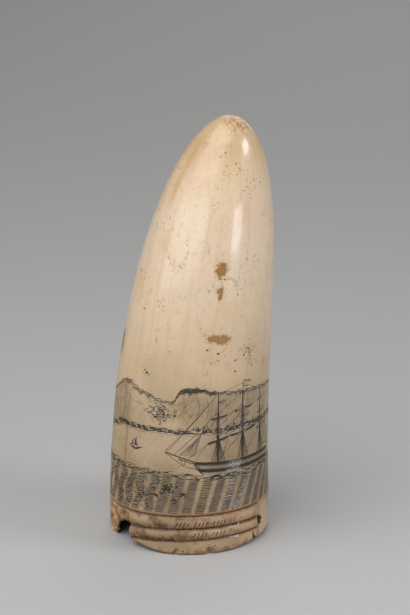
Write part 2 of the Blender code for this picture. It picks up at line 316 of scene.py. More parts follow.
def fan(base_first, base_last, foot, apex, number, width=0.2, ink=0.95):
    """Shrouds: lines from a row of feet up to one point."""
    for i in range(number):
        share = i / (number - 1.0)
        a = base_first + (base_last - base_first) * share
        cut([(a, foot), (apex[0] + 0.25 * (share - 0.5), apex[1] - 0.3)], width, 0.03, ink)


def skyline(azimuth):
    """The hills' upper edge: a peak at the left, a dip, and a long flat-topped hill at the right."""
    peak = 4.6 * math.exp(-((azimuth + 57.5) / 15.0) ** 2)
    shoulder = 1.5 * math.exp(-((azimuth + 37.0) / 7.0) ** 2)
    table = 5.4 / (1.0 + math.exp(-(azimuth + 12.0) / 0.9))
    fall = 1.6 * float(smooth_step(azimuth, 4.0, 16.0)) + 0.045 * max(azimuth - 15.0, 0.0)
    left_fall = 0.2 * max(-70.0 - azimuth, 0.0)
    return 59.7 + peak + shoulder + table - fall - left_fall + 0.3 * math.sin(azimuth * 0.9)


def shore_height(azimuth):
    """The far shore's height under the hills."""
    return 48.7 - 0.002 * min(azimuth + 35.0, 0.0) ** 2 + 0.25 * math.sin(azimuth * 0.19)


def shade_under_skyline(first, last, deep, pitch, ink, width=0.22):
    """Short slanting strokes that hang from the hills' edge."""
    azimuth = first
    while azimuth < last:
        top = skyline(azimuth) - hand.uniform(0.1, 0.5)
        drop = deep * hand.uniform(0.55, 1.1)
        cut([(azimuth, top), (azimuth - 0.5 * drop, top - drop)], width, 0.05, ink)
        azimuth += pitch * hand.uniform(0.7, 1.3)


def engrave_hills():
    """The skyline, the strokes that shade it, the folds and the trees."""
    cut([(a, skyline(a)) for a in range(-100, 101, 2)], 0.3, 0.34, 0.8)
    cut([(a, skyline(a) - 0.5) for a in range(-92, 93, 2)], 0.22, 0.4, 0.75)
    shade_under_skyline(-92.0, -63.0, 1.5, 1.5, 0.6)
    shade_under_skyline(-60.0, -33.0, 1.9, 0.9, 0.8)
    shade_under_skyline(-33.0, -12.0, 1.0, 1.3, 0.7)
    for repeat in range(2):
        shade_under_skyline(-11.0, 4.0, 2.7, 0.5, 0.66, 0.15)
        shade_under_skyline(4.0, 17.0, 1.6, 0.5, 0.66, 0.15)
        shade_under_skyline(-11.0, 17.0, 0.9, 0.9, 0.85)
    shade_under_skyline(16.5, 92.0, 1.5, 1.0, 0.7)
    folds = (
        ((-60, 63.5), (-58, 59.5), (-50, 57.5), (-38, 57.0)),
        ((-66, 62.5), (-70, 57.0), (-66, 51.0)),
        ((-78, 58.0), (-74, 53.0), (-80, 48.0)),
        ((-30, 60.5), (-27, 58.5), (-20, 57.5)),
        ((-9, 62.5), (-6, 59.0), (-8, 55.0), (-3, 51.5)),
        ((2, 62.5), (5, 58.0), (3, 53.5)),
        ((9, 62.0), (12, 57.5), (10, 52.0)),
        ((-18, 59.0), (-12, 56.0), (-14, 52.0)),
    )
    for fold in folds:
        cut(fold, 0.22, 0.45, 0.55)
    for i in range(260):
        azimuth = hand.uniform(-90.0, 14.0) if i % 3 else hand.uniform(-10.0, 16.0)
        z = skyline(azimuth) - hand.uniform(2.5, 10.0)
        if z > shore_height(azimuth) + 2.6:
            fall = hand.uniform(0.9, 2.6)
            lean = 1.4 if azimuth < -20.0 else -1.1
            cut([(azimuth, z), (azimuth + lean * fall, z - fall)], 0.18, 0.1, 0.5)
    for i in range(150):
        azimuth = hand.uniform(13.0, 92.0)
        z = hand.uniform(shore_height(azimuth) + 2.5, skyline(azimuth) - 0.6)
        fall = min(hand.uniform(2.0, 6.0), z - shore_height(azimuth) - 0.8)
        cut([(azimuth, z), (azimuth - 0.45 * fall, z - fall)], 0.17, 0.1, 0.5)
    for i in range(70):
        azimuth = hand.uniform(-90.0, -57.0)
        z = hand.uniform(shore_height(azimuth) + 2.0, skyline(azimuth) - 0.6)
        fall = min(hand.uniform(2.0, 5.0), z - shore_height(azimuth) - 0.6)
        cut([(azimuth, z), (azimuth - 0.5 * fall, z - fall)], 0.2, 0.12, 0.55)
    for azimuth, ink in ((-54.6, 0.9), (-52.9, 0.6)):
        crack = [(azimuth, 61.5), (azimuth - 1.2, 52.0), (azimuth - 0.4, 42.0), (azimuth - 0.9, 30.5)]
        cut(crack, 0.2, 0.1, ink)
    for first, last in ((-70.0, -57.0), (-66.0, -54.0), (-61.0, -51.0)):
        cut([(first, shore_height(first) + 1.6), (last, shore_height(last) - 0.3)], 0.4, 0.12)
    for drop in (0.35, 0.75, 1.15, 1.55):
        cut([(a, skyline(a) - drop) for a in (-8.5, -6.0, -3.0, 0.5, 3.6)], 0.4, 0.08, 0.75)
        cut([(a, skyline(a) - 0.7 * drop) for a in (4.5, 8.0, 12.0, 16.0)], 0.3, 0.08, 0.55)
    for i in range(95):
        a = -26.0 + hand.gauss(0.0, 5.0)
        z = 55.3 + hand.gauss(0.0, 1.8)
        cut([(a, z), (a + hand.uniform(0.8, 2.2), z + hand.uniform(-0.7, 0.7))], 0.3, 0.05)


def engrave_shore():
    """The far shore: rocks, bushes and small masts."""
    for drop, width, ink in ((-0.5, 0.2, 0.7), (0.9, 0.3, 0.9), (1.6, 0.2, 0.6)):
        cut([(a, shore_height(a) - drop) for a in range(-98, 99, 2)], width, 0.3, ink)
    azimuth = -94.0
    while azimuth < 94.0:
        wide = hand.uniform(1.0, 3.2)
        tall = hand.uniform(0.35, 0.75)
        z = shore_height(azimuth) - 0.1 + hand.uniform(-0.3, 0.35)
        loop = [(azimuth + wide * math.cos(t), z + tall * math.sin(t))
                for t in (0.3, 1.4, 2.5, 3.6, 4.7, 5.8, 6.6)]
        cut(loop, 0.26, 0.06)
        for i in range(3):
            x = azimuth + hand.uniform(-0.7, 0.7) * wide
            cut([(x, z - 0.1), (x + hand.uniform(0.6, 1.6), z + hand.uniform(-0.4, 0.3))], 0.32, 0.04)
        azimuth += wide * hand.uniform(1.3, 2.3)
    for i in range(46):
        a = hand.uniform(-10.0, 60.0)
        z = shore_height(a) + hand.uniform(0.2, 1.0)
        cut([(a, z), (a + hand.uniform(-0.6, 0.6), z + hand.uniform(0.5, 1.2))], 0.28, 0.04)


def engrave_water():
    """Short dashes for calm water, with faint strokes behind the ship."""
    for row in range(10):
        azimuth = -96.0 + hand.uniform(0.0, 5.0)
        z = 33.6 + row * 1.35
        while azimuth < 96.0:
            behind_ship = 3.0 < azimuth < 76.0
            if z < shore_height(azimuth) - 2.2 and not (behind_ship and z < 37.5):
                dash = hand.uniform(0.8, 2.2)
                level = z + hand.uniform(-0.45, 0.45)
                cut([(azimuth, level), (azimuth + dash, level + 0.05)], 0.2, 0.04, 0.55)
            azimuth += hand.uniform(4.0, 8.5)
    for i in range(70):
        a = hand.uniform(24.0, 88.0)
        z = hand.uniform(38.0, 45.5)
        rise = hand.uniform(1.0, 2.8)
        cut([(a, z), (a + hand.uniform(-1.5, 2.5), z + rise)], 0.15, 0.06, 0.4)


def engrave_boat(at=-44.0, keel=39.2):
    """The small boat with three sails."""
    for i in range(3):
        cut([(at - 6.8 + 1.3 * i, keel + 1.1 - 0.34 * i), (at, keel + 0.4 - 0.34 * i),
             (at + 7.2 - 1.5 * i, keel + 1.4 - 0.34 * i)], 0.28, 0.04)
    for foot, top, spread in ((at - 2.6, 4.1, -3.0), (at + 0.3, 5.0, 3.6), (at - 0.4, 4.4, -1.4)):
        cut([(foot, keel + 0.9), (foot + 0.2, keel + top)], 0.26, 0.03)
        for i in range(5):
            share = (i + 0.5) / 5.0
            high = keel + 1.2 + (top - 1.2) * (1.0 - share)
            cut([(foot + spread * share, keel + 1.2), (foot + 0.25 * spread * share, high)], 0.22, 0.03)


BOW, STERN = 2.6, 76.0
# azimuth of the foot, lean of the top, height of the top
FORE, MAIN, MIZZEN = (20.6, -2.1, 63.6), (41.4, -2.2, 66.0), (62.4, -3.6, 61.0)
# left azimuth, left height, right azimuth, right height, width, layers
YARDS = (
    (11.8, 43.8, 28.6, 45.9, 0.33, 2), (13.4, 53.1, 27.2, 54.2, 0.31, 2),
    (18.0, 59.1, 24.4, 60.0, 0.34, 1), (28.4, 45.9, 55.0, 47.2, 0.36, 2),
    (34.4, 52.2, 47.6, 52.9, 0.36, 1), (31.8, 55.0, 51.0, 55.9, 0.34, 2),
    (36.6, 61.2, 43.6, 61.9, 0.3, 1), (55.0, 45.4, 72.0, 46.6, 0.38, 1),
    (55.4, 51.4, 67.0, 52.2, 0.34, 1), (55.4, 56.4, 63.5, 56.9, 0.28, 1),
)


def deck(azimuth):
    """The deck's height, with its sheer up to the bow."""
    share = (azimuth - BOW) / (STERN - BOW)
    return 36.7 - 2.6 * share * (1.0 - share) * (1.6 - share) - 1.7 * share ** 3


# The hull's long lines: how far below the deck, how wide, how black. The rail is dark, the side
# grey, the belt under it dark and the bottom faint
HULL_LINES = (
    (0.0, 0.42, 1.0), (0.42, 0.36, 1.0), (0.8, 0.26, 0.85), (1.2, 0.2, 0.65), (1.6, 0.2, 0.6),
    (2.05, 0.2, 0.65), (2.45, 0.3, 0.85), (2.85, 0.4, 1.0), (3.25, 0.42, 1.0), (3.6, 0.26, 0.85),
    (4.1, 0.16, 0.5), (4.7, 0.14, 0.4),
)


def engrave_hull():
    """The hull, its rail, the bowsprit and its ropes."""
    for drop, width, ink in HULL_LINES:
        inner = drop * 0.95
        stops = np.linspace(BOW + inner, STERN - 0.6 * inner, 15)
        cut([(float(a), deck(a) - drop) for a in stops], width, 0.05, ink)
    cut([(BOW - 0.6, deck(BOW) + 0.2), (BOW + 2.2, 34.2), (BOW + 7.5, 31.6)], 0.34, 0.05)
    cut([(BOW + 1.0, deck(BOW) - 0.4), (BOW + 5.4, 33.4)], 0.34, 0.05)
    cut([(STERN, deck(STERN) + 0.3), (STERN - 1.4, 31.6), (STERN - 4.0, 30.6)], 0.34, 0.05)
    for i in range(28):
        a = BOW + 4.0 + i * 2.45
        cut([(a, deck(a) - 0.5), (a + 0.1, deck(a) - 1.15)], 0.2, 0.02)
        cut([(a - 1.0, deck(a) + 0.05), (a - 1.0, deck(a) + 0.7)], 0.16, 0.02, 0.7)
    cut([(BOW + 0.5, deck(BOW) + 0.2), (-8.0, 38.7), (-19.0, 40.4)], 0.4, 0.03)
    cut([(BOW, deck(BOW) - 0.5), (-9.0, 38.0)], 0.26, 0.04)
    cut([(-19.0, 40.3), (-11.0, 37.6), (-4.2, 35.0)], 0.17, 0.04)
    cut([(-4.2, 35.0), (-3.4, 38.0)], 0.2, 0.03)
    cut([(-4.2, 35.0), (BOW + 3.0, 34.0)], 0.2, 0.04)
    cut([(-8.0, 38.6), (-4.2, 35.0)], 0.16, 0.04)
    for i in range(26):
        a = hand.uniform(15.0, 33.0)
        z = 30.6 + hand.uniform(-0.7, 0.5)
        cut([(a, z), (a + hand.uniform(1.0, 2.6), z + hand.uniform(-0.2, 0.2))], 0.34, 0.04)


def engrave_mast(mast, lower_top, upper_top):
    """A mast in three lengths, with its tops and shrouds."""
    azimuth, lean, top = mast
    foot = deck(azimuth)

    def at(z):
        return azimuth + lean * (z - foot) / (top - foot)

    for side in (-0.75, 0.0, 0.75):
        cut([(azimuth + side, foot), (at(lower_top) + side, lower_top)], 0.26, 0.02, 0.95)
    for side in (-0.5, 0.5):
        cut([(at(lower_top - 1.6) + side, lower_top - 1.6), (at(upper_top) + side, upper_top)],
            0.26, 0.02, 0.95)
    for side in (-0.3, 0.3):
        cut([(at(upper_top - 1.0) + side, upper_top - 1.0), (at(top) + 0.3 * side, top)],
            0.2, 0.02, 0.95)
    cut([(at(lower_top) - 1.9, lower_top - 0.2), (at(lower_top) + 1.9, lower_top)], 0.3, 0.02)
    cut([(at(upper_top) - 1.3, upper_top - 0.4), (at(upper_top) + 1.3, upper_top - 0.2)], 0.26, 0.02)
    fan(azimuth - 5.2, azimuth + 5.6, foot + 0.1, (at(lower_top), lower_top), 8)
    fan(at(lower_top) - 2.6, at(lower_top) + 2.6, lower_top, (at(upper_top), upper_top), 5, 0.15, 0.7)
    for i in range(6):
        z = foot + 1.1 + i * 1.25
        reach = 5.0 * (1.0 - (z - foot) / (lower_top - foot))
        cut([(at(z) - reach, z), (at(z) + reach, z)], 0.13, 0.02, 0.6)


def engrave_yard(a0, z0, a1, z1, width, layers):
    """A yard with its furled sail: a dark bar, gaskets under it, and lifts up to the mast."""
    bar((a0, z0), (a1, z1), width, layers)
    count = int((a1 - a0) / 1.5)
    for i in range(count):
        share = (i + 0.5) / count
        a, z = a0 + (a1 - a0) * share, z0 + (z1 - z0) * share - 0.3 * layers
        if 0.12 < share < 0.88:
            cut([(a - 0.4, z), (a + 0.3, z - hand.uniform(0.3, 0.55))], 0.26, 0.02, 0.8)
    middle = 0.5 * (a0 + a1)
    high = 0.5 * (z0 + z1) + 0.17 * (a1 - a0)
    for a, z in ((a0, z0), (a1, z1)):
        cut([(a, z), (middle, high)], 0.13, 0.03, 0.6)


# Stays and other ropes: the two ends, each an azimuth and a height, and the width
STAYS = (
    ((-19.0, 40.4), (15.6, 61.0), 0.2), ((-17.5, 40.3), (18.6, 63.0), 0.15),
    ((-12.0, 39.4), (18.2, 55.5), 0.18), ((-8.3, 39.2), (7.1, 47.4), 0.24),
    ((7.1, 47.4), (18.6, 53.0), 0.16), ((2.4, 38.6), (7.1, 47.4), 0.16),
    ((-2.0, 38.0), (19.6, 46.5), 0.15), ((21.4, 37.6), (40.4, 46.6), 0.17),
    ((20.0, 46.0), (39.8, 55.0), 0.17), ((19.0, 55.0), (39.4, 62.5), 0.15),
    ((19.0, 62.8), (39.2, 65.4), 0.13), ((42.4, 37.8), (61.4, 46.0), 0.17),
    ((41.0, 46.6), (60.6, 53.0), 0.15), ((40.0, 55.5), (59.6, 59.5), 0.15),
    ((39.4, 65.0), (59.0, 60.6), 0.13), ((61.0, 46.0), (77.5, 36.0), 0.16),
    ((60.0, 53.0), (78.5, 36.4), 0.13), ((58.9, 60.8), (79.5, 37.0), 0.13),
    ((28.0, 45.8), (40.6, 50.6), 0.13), ((26.8, 54.0), (39.6, 57.0), 0.13),
    ((54.0, 46.8), (60.6, 50.0), 0.13), ((12.2, 43.8), (2.8, 37.0), 0.13),
    ((28.4, 45.5), (22.0, 36.4), 0.13), ((54.0, 46.8), (46.0, 36.8), 0.13),
    ((50.6, 55.8), (60.0, 57.0), 0.13), ((31.6, 55.0), (20.4, 50.0), 0.13),
    ((13.4, 53.0), (-2.0, 40.4), 0.13),
)


def engrave_rigging():
    """The ropes, the hatched jib and spanker, and the flag."""
    for first, last, width in STAYS:
        cut([first, last], width, 0.03, 0.85)
    for i in range(9):
        share = (i + 0.5) / 9.0
        low_end = (-7.4 + 9.6 * share, 39.0 - 0.3 * share)
        cut([low_end, (0.4 + 6.6 * share, 43.4 + 3.8 * share)], 0.2, 0.05, 0.6)
    cut([(62.0, 38.2), (77.0, 36.6)], 0.28, 0.03)
    cut([(60.6, 46.4), (73.0, 49.6)], 0.26, 0.03)
    for i in range(12):
        share = (i + 0.5) / 12.0
        low_end = (62.4 + 13.6 * share, 38.2 - 1.2 * share)
        cut([low_end, (61.0 + 11.0 * share, 45.0 + 3.4 * share)], 0.15, 0.05, 0.6)
    flag = MAIN[0] + MAIN[1]
    for drop, reach, width, ink in ((0.0, 9.2, 0.3, 1.0), (0.5, 8.0, 0.16, 0.75), (2.2, 5.6, 0.3, 0.9)):
        top = MAIN[2] + 0.3 - drop
        bar((flag, top), (flag + reach, top - 0.12 * reach), width, 1, ink)


def engrave_ship():
    engrave_hull()
    engrave_mast(FORE, 46.4, 55.5)
    engrave_mast(MAIN, 47.2, 57.2)
    engrave_mast(MIZZEN, 45.8, 54.2)
    for yard in YARDS:
        engrave_yard(*yard)
    engrave_rigging()


def wave_height(azimuth):
    """The top of the swell, lower under the ship."""
    dip = float(smooth_step(azimuth, -8.0, 8.0)) * (1.0 - float(smooth_step(azimuth, 74.0, 84.0)))
    return 31.6 - 1.4 * dip


def engrave_waterline():
    """Rows of wave lines along the top of the swell."""
    for row in range(4):
        azimuth = -97.0 + hand.uniform(0.0, 4.0)
        while azimuth < 92.0:
            reach = hand.uniform(14.0, 30.0)
            path = [(a, wave_height(a) + 1.0 - 0.62 * row + 0.4 * math.sin(a * 0.36 + row * 2.1))
                    for a in np.arange(azimuth, min(azimuth + reach, 97.0), 2.0)]
            if len(path) > 2:
                cut([(float(a), z) for a, z in path], 0.2 + 0.05 * (row % 2), 0.16, 0.9)
            azimuth += reach + hand.uniform(0.5, 3.0)
    for i in range(130):
        a = hand.uniform(-95.0, 95.0)
        z = wave_height(a) + hand.uniform(-0.9, 1.1)
        size = hand.uniform(1.2, 4.0)
        curl = hand.uniform(-0.4, 0.4)
        cut([(a, z), (a + 0.5 * size, z + curl), (a + size, z)], 0.28, 0.06)


# The swell. Its stripes lean, and those at the left sway. Their pitch is in degrees, about 5 mm
SEA_LOW = 1.3            # above the top groove
SEA_LEVEL = 22.0         # where a stripe's middle is given
SEA_LEFT = -97.0
STRIPE_PITCH = 9.7
STRIPE_HALF = 3.75       # degrees of hatching to each side of a stripe's middle
STRIPE_COUNT = 20
HATCH_PITCH = 0.62
# azimuth, height, spread in mm, number of pits
SEA_STAINS = (
    (-15.2, 25.9, 1.3, 44), (-4.6, 23.9, 0.9, 18), (-45.6, 25.2, 2.2, 16), (-36.4, 22.8, 2.2, 16),
    (-24.0, 23.5, 1.3, 14), (-56.0, 20.5, 2.4, 14), (-28.0, 19.5, 1.8, 9), (-62.0, 26.0, 2.4, 12),
    (-11.0, 21.0, 0.9, 8),
)
stripes = [(SEA_LEFT + STRIPE_PITCH * i, hand.uniform(0.0, 6.0)) for i in range(STRIPE_COUNT)]


def wildness(azimuth):
    """How unruly the swell is: 1 at the left and 0 at the right."""
    return 1.0 - smooth_step(azimuth, -40.0, -5.0)


def stripe_middle(stripe, z):
    """A stripe's middle at a height: straight at the right, swaying at the left."""
    middle, phase = stripe
    lean = 0.42 + 0.008 * max(middle, 0.0)       # degrees for each millimetre of height
    sway = 1.5 * wildness(middle) * np.sin(z * 0.62 + phase)
    return middle + lean * (z - SEA_LEVEL) + sway


def engrave_sea():
    """The swell: leaning bands of close short lines, with bare bands between them."""
    for stripe in stripes:
        middle = stripe[0]
        wild = float(wildness(middle))
        z = float(groove_height(TOP_GROOVE, middle)) + SEA_LOW + hand.uniform(-0.2, 0.4)
        top = wave_height(middle) - 1.3 + hand.uniform(-0.5, 0.5)
        while z < top:
            a = float(stripe_middle(stripe, z))
            half = STRIPE_HALF * hand.uniform(0.88, 1.12)
            tilt = hand.uniform(-0.12, 0.12) + wild * hand.uniform(-0.5, 0.5)
            bow = 0.1 + wild * hand.uniform(-0.3, 0.4)
            cut([(a - half, z - tilt), (a, z + bow), (a + half, z + tilt)], 0.27, 0.05, 0.74)
            z += HATCH_PITCH * hand.uniform(0.85, 1.15)
    for i in range(85):
        a = hand.uniform(-94.0, -14.0)
        z = hand.uniform(17.0, 29.5)
        cut([(a, z), (a + hand.uniform(-2.4, 2.4), z + hand.uniform(-1.0, 1.0))], 0.28, 0.08, 0.9)
    for azimuth, z, spread, number in SEA_STAINS:
        scatter(azimuth, z, spread, number, 0.66, 0.5, 1.0)


def engrave_stroke_rows():
    """Rows of plain slanting strokes on the two rolls."""
    rows = (
        (MIDDLE_GROOVE, TOP_GROOVE, -9.0, 49.0, 0.4, 2.6),
        (LOW_GROOVE, MIDDLE_GROOVE, 3.7, 53.0, 0.5, 2.4),
    )
    for low, high, first, last, level, tall in rows:
        a = first
        index = 0
        while a < last:
            base = float(groove_height(low, a))
            middle = base + level * float(groove_height(high, a) - base)
            half = 0.5 * tall * hand.uniform(0.75, 1.0)
            lean = hand.uniform(0.7, 1.3)
            fade = 1.0 - 0.55 * float(smooth_step(a, 18.0, 40.0))
            cut([(a - lean, middle - half), (a + lean, middle + half)], 0.3, 0.03, fade)
            index += 1
            a += 2.7 if index % 4 else 5.2


# Marks of age that the photograph shows: azimuth, height, size in mm, how dark
MARKS = (
    (-53.1, 91.9, 0.75, 0.9), (-39.7, 69.1, 0.9, 1.0), (-41.6, 70.0, 0.7, 0.9), (-37.6, 68.6, 0.6, 0.8),
    (15.8, 78.0, 0.9, 1.0), (15.8, 75.5, 0.5, 0.7), (6.9, 79.6, 0.8, 0.7), (31.0, 70.3, 0.85, 0.9),
    (30.3, 74.6, 0.7, 0.7), (42.5, 78.0, 0.7, 1.0), (43.4, 76.4, 0.65, 1.0), (44.8, 75.0, 0.7, 1.0),
    (45.0, 73.8, 0.6, 0.9), (38.3, 75.9, 0.8, 0.8), (47.3, 71.3, 0.75, 0.8), (48.1, 77.8, 0.5, 0.7),
    (43.1, 81.5, 0.5, 0.7), (37.7, 79.8, 0.5, 0.6), (10.8, 74.5, 0.6, 0.6), (1.8, 75.2, 0.4, 0.5),
    (22.9, 73.6, 0.4, 0.5), (10.9, 105.7, 0.7, 0.9), (15.2, 105.4, 0.7, 0.9), (22.3, 105.0, 0.5, 0.6),
    (26.0, 104.1, 0.5, 0.7), (26.4, 102.7, 0.4, 0.6), (31.4, 101.1, 0.5, 0.5), (28.1, 99.3, 0.7, 0.4),
    (2.8, 101.5, 0.45, 0.7), (60.1, 91.1, 0.6, 0.4), (-31.8, 111.3, 0.4, 0.5), (-25.9, 109.7, 0.6, 0.9),
    (-23.6, 109.4, 0.55, 0.9), (-30.6, 109.4, 0.35, 0.6), (-26.9, 107.6, 0.35, 0.5),
    (-24.5, 101.8, 0.4, 0.4), (-27.5, 88.7, 0.45, 0.5), (-34.5, 85.8, 0.5, 0.4),
    (-34.7, 82.3, 0.5, 0.5), (-65.9, 85.7, 0.45, 0.5),
    (-21.8, 78.4, 0.6, 0.4), (-65.4, 67.6, 0.6, 0.5), (-0.4, 149.5, 0.75, 0.9), (-6.3, 148.2, 0.6, 0.5),
    (16.6, 145.7, 0.9, 0.45), (1.2, 143.2, 0.6, 0.4), (42.6, 139.4, 0.7, 0.9), (48.0, 139.8, 0.45, 0.8),
    (37.7, 138.6, 0.5, 0.6), (27.9, 136.3, 0.6, 0.6), (38.7, 135.8, 0.35, 0.5), (-2.9, 137.5, 0.6, 0.4),
    (-49.8, 125.6, 0.7, 0.5), (-23.7, 119.0, 0.4, 0.5), (-22.9, 117.6, 0.45, 0.6),
)


def mark_age():
    """Pits and specks of the old surface, the crack at the left, and hairlines."""
    for azimuth, z, size, dark in MARKS:
        pit(azimuth, z, 1.1 * size, dark, 0.3 * dark)
    for azimuth, z, spread, number, size in (
            (43.0, 77.0, 2.3, 26, 0.32), (16.0, 77.0, 3.2, 10, 0.26), (-40.0, 69.6, 1.5, 16, 0.3),
            (-28.0, 109.5, 2.6, 14, 0.22), (27.0, 103.0, 2.6, 12, 0.24), (2.0, 149.0, 2.5, 10, 0.24),
            (8.0, 71.2, 0.9, 12, 0.24), (45.0, 72.0, 2.0, 12, 0.3)):
        scatter(azimuth, z, spread, number, size, 0.0, 0.8)
    for i in range(560):
        azimuth = hand.uniform(-178.0, 178.0)
        z = 66.0 + 84.0 * hand.random() ** 1.3
        pit(azimuth, z, hand.uniform(0.16, 0.36), hand.uniform(0.25, 0.7))
    cut([(-76.6, 82.0), (-78.2, 77.5), (-80.4, 70.0)], 0.34, 0.2, 0.0, 1.0)
    cut([(-77.4, 79.0), (-79.4, 73.0)], 0.3, 0.1, 0.0, 1.0)
    cut([(-48.9, 15.4), (-49.3, 12.6), (-48.7, 9.6)], 0.34, 0.1, 0.6, 1.0)
    scatter(60.4, 7.6, 0.75, 26, 0.8, 1.0, 1.0)
    cut([(52.5, 4.6), (55.0, 2.2), (56.4, 0.7)], 0.34, 0.1, 0.9, 1.0)
    scatter(54.0, 2.4, 0.6, 8, 0.6, 0.7, 1.0)
    scatter(-8.0, 2.0, 1.1, 9, 0.5, 0.4, 1.0)
    scatter(16.4, 2.2, 0.9, 9, 0.5, 0.4, 1.0)
    for azimuth, low, high in ((118.0, 20.0, 74.0), (-142.0, 17.0, 96.0), (171.0, 22.0, 61.0),
                               (64.0, 83.0, 118.0), (-104.0, 60.0, 104.0)):
        count = int((high - low) / 4.0)
        path = [(azimuth + hand.uniform(-0.7, 0.7), low + (high - low) * i / count)
                for i in range(count + 1)]
        cut(path, 0.12, 0.1, 0.0, 0.8)


def engrave_all():
    engrave_hills()
    engrave_shore()
    engrave_water()
    engrave_boat()
    engrave_ship()
    engrave_waterline()
    engrave_sea()
    engrave_stroke_rows()
    mark_age()


# The skin between the rim and the tip, cut by every engraved line and every pit
LINE_DEPTH = 0.42     # of a line's width
FAINT = 2.5           # ink fills a light line less than its strength says


class Groundwork:
    """Points and fixed edges of the unrolled skin, in millimetres round and up."""

    def __init__(self):
        self.points = []
        self.edges = []

    def chain(self, path):
        """Points joined by edges that the triangles have to follow."""
        first = len(self.points)
        self.points.extend(Vector(p) for p in path)
        self.edges.extend((first + i, first + i + 1) for i in range(len(path) - 1))

    def dots(self, path):
        """Points that only make the triangles smaller."""
        self.points.extend(Vector(p) for p in path)


def offset_path(path, side, width):
    """A path beside another, closing to its ends as a graver's cut does."""
    result = []
    last = len(path) - 1
    for i, (x, y) in enumerate(path):
        x0, y0 = path[max(i - 1, 0)]
        x1, y1 = path[min(i + 1, last)]
        length = max(math.hypot(x1 - x0, y1 - y0), 1e-9)
        taper = 0.0 if i in (0, last) else 1.0
        away = 0.5 * width * side * taper / length
        result.append((x - (y1 - y0) * away, y + (x1 - x0) * away))
    result[0], result[-1] = path[0], path[-1]
    return result


def rim_azimuths():
    """Where the rim has points: close together along the bite and the lost foot."""
    fine_from, fine_to = BITE_FAR_AZIMUTH - 4.0, FOOT_LOSS_END + 30.0
    plain = [a for a in np.arange(-180.0, 180.01, 2.0) if not fine_from < a < fine_to]
    fine = list(np.arange(fine_from, fine_to, 0.8))
    step = BREAK_AZIMUTH - BREAK_STEP
    edges = [-BAKE_SIDE, BAKE_SIDE, BITE_FAR_AZIMUTH + 0.02, step - 0.01, step + 0.01]
    return np.array(sorted(set(plain + fine + edges)))


def top_groove_at(azimuth):
    return float(groove_height(TOP_GROOVE, azimuth))


def skin_groundwork(rim_line):
    """All points and fixed edges that the skin's triangles have to keep."""
    ground = Groundwork()
    ground.chain([(a * ARC, z) for a, z in rim_line])
    rim_a = np.array([a for a, z in rim_line])
    rim_z = np.array([z for a, z in rim_line])

    def floor_at(azimuth):
        return float(np.interp(azimuth, rim_a, rim_z))

    for side in (-HALF_TURN, HALF_TURN):
        ground.chain([(side, z) for z in np.linspace(rim_line[0][1], SKIN_TOP, 76)])
    for side in (-BAKE_SIDE, BAKE_SIDE):
        ground.chain([(side * ARC, z) for z in np.linspace(floor_at(side), BAKE_TOP, 37)])
    ground.chain([(s, BAKE_TOP) for s in np.linspace(-HALF_TURN, HALF_TURN, 121)])
    ground.chain([(s, SKIN_TOP) for s in np.linspace(-HALF_TURN, HALF_TURN, TIP_SIDES + 1)])

    def level(z):
        return lambda azimuth: z

    def under_groove(azimuth):
        return top_groove_at(azimuth) - 0.75

    def over_groove(azimuth):
        return top_groove_at(azimuth) + 1.6

    def add_grid(first, last, step, low_at, high_at, row_step):
        """Columns of points between two azimuths, from one height to another."""
        for a in np.arange(first, last, step):
            low = max(low_at(a), floor_at(a) + 0.2)
            high = high_at(a)
            count = max(1, int((high - low) / row_step))
            ground.dots([(a * ARC, low + (high - low) * i / count) for i in range(count + 1)])

    # below the top groove, where the rolls are and beside them
    add_grid(-84.0, 74.0, 1.0, level(0.0), under_groove, 0.4)
    add_grid(-178.0, -84.5, 3.0, level(0.3), under_groove, 2.0)
    add_grid(75.0, 178.5, 3.0, level(0.3), under_groove, 2.0)
    # the picture's height, in front and behind
    add_grid(-98.5, 98.6, 2.0, over_groove, level(BAKE_TOP - 1.2), 1.6)
    for side in (-178.0, 102.0):
        add_grid(side, side + 77.0, 3.0, over_groove, level(BAKE_TOP - 1.2), 2.0)
    # the crown, closer where it curves more
    add_grid(-178.5, 178.6, 3.0, level(BAKE_TOP + 1.2), level(134.0), 2.2)
    add_grid(-178.5, 178.6, 3.0, level(135.0), level(SKIN_TOP - 0.6), 1.0)
    around = np.arange(-180.0, 180.01, 2.0)
    for step in (-0.5, 0.0, 0.5):
        ground.chain([(a * ARC, top_groove_at(a) + step * TOP_GROOVE_WIDTH) for a in around])
    for edge in (BREAK_AZIMUTH - SCAR_STEP - 0.02, BREAK_AZIMUTH - SCAR_STEP + 0.02):
        ceiling = top_groove_at(edge) - 0.5 * TOP_GROOVE_WIDTH
        ground.chain([(edge * ARC, z) for z in np.linspace(floor_at(edge) + 0.1, ceiling, 14)])
    for path, width, *_ in lines:
        for side in (-1.0, 0.0, 1.0):
            ground.chain(offset_path(path, side, width))
    return ground


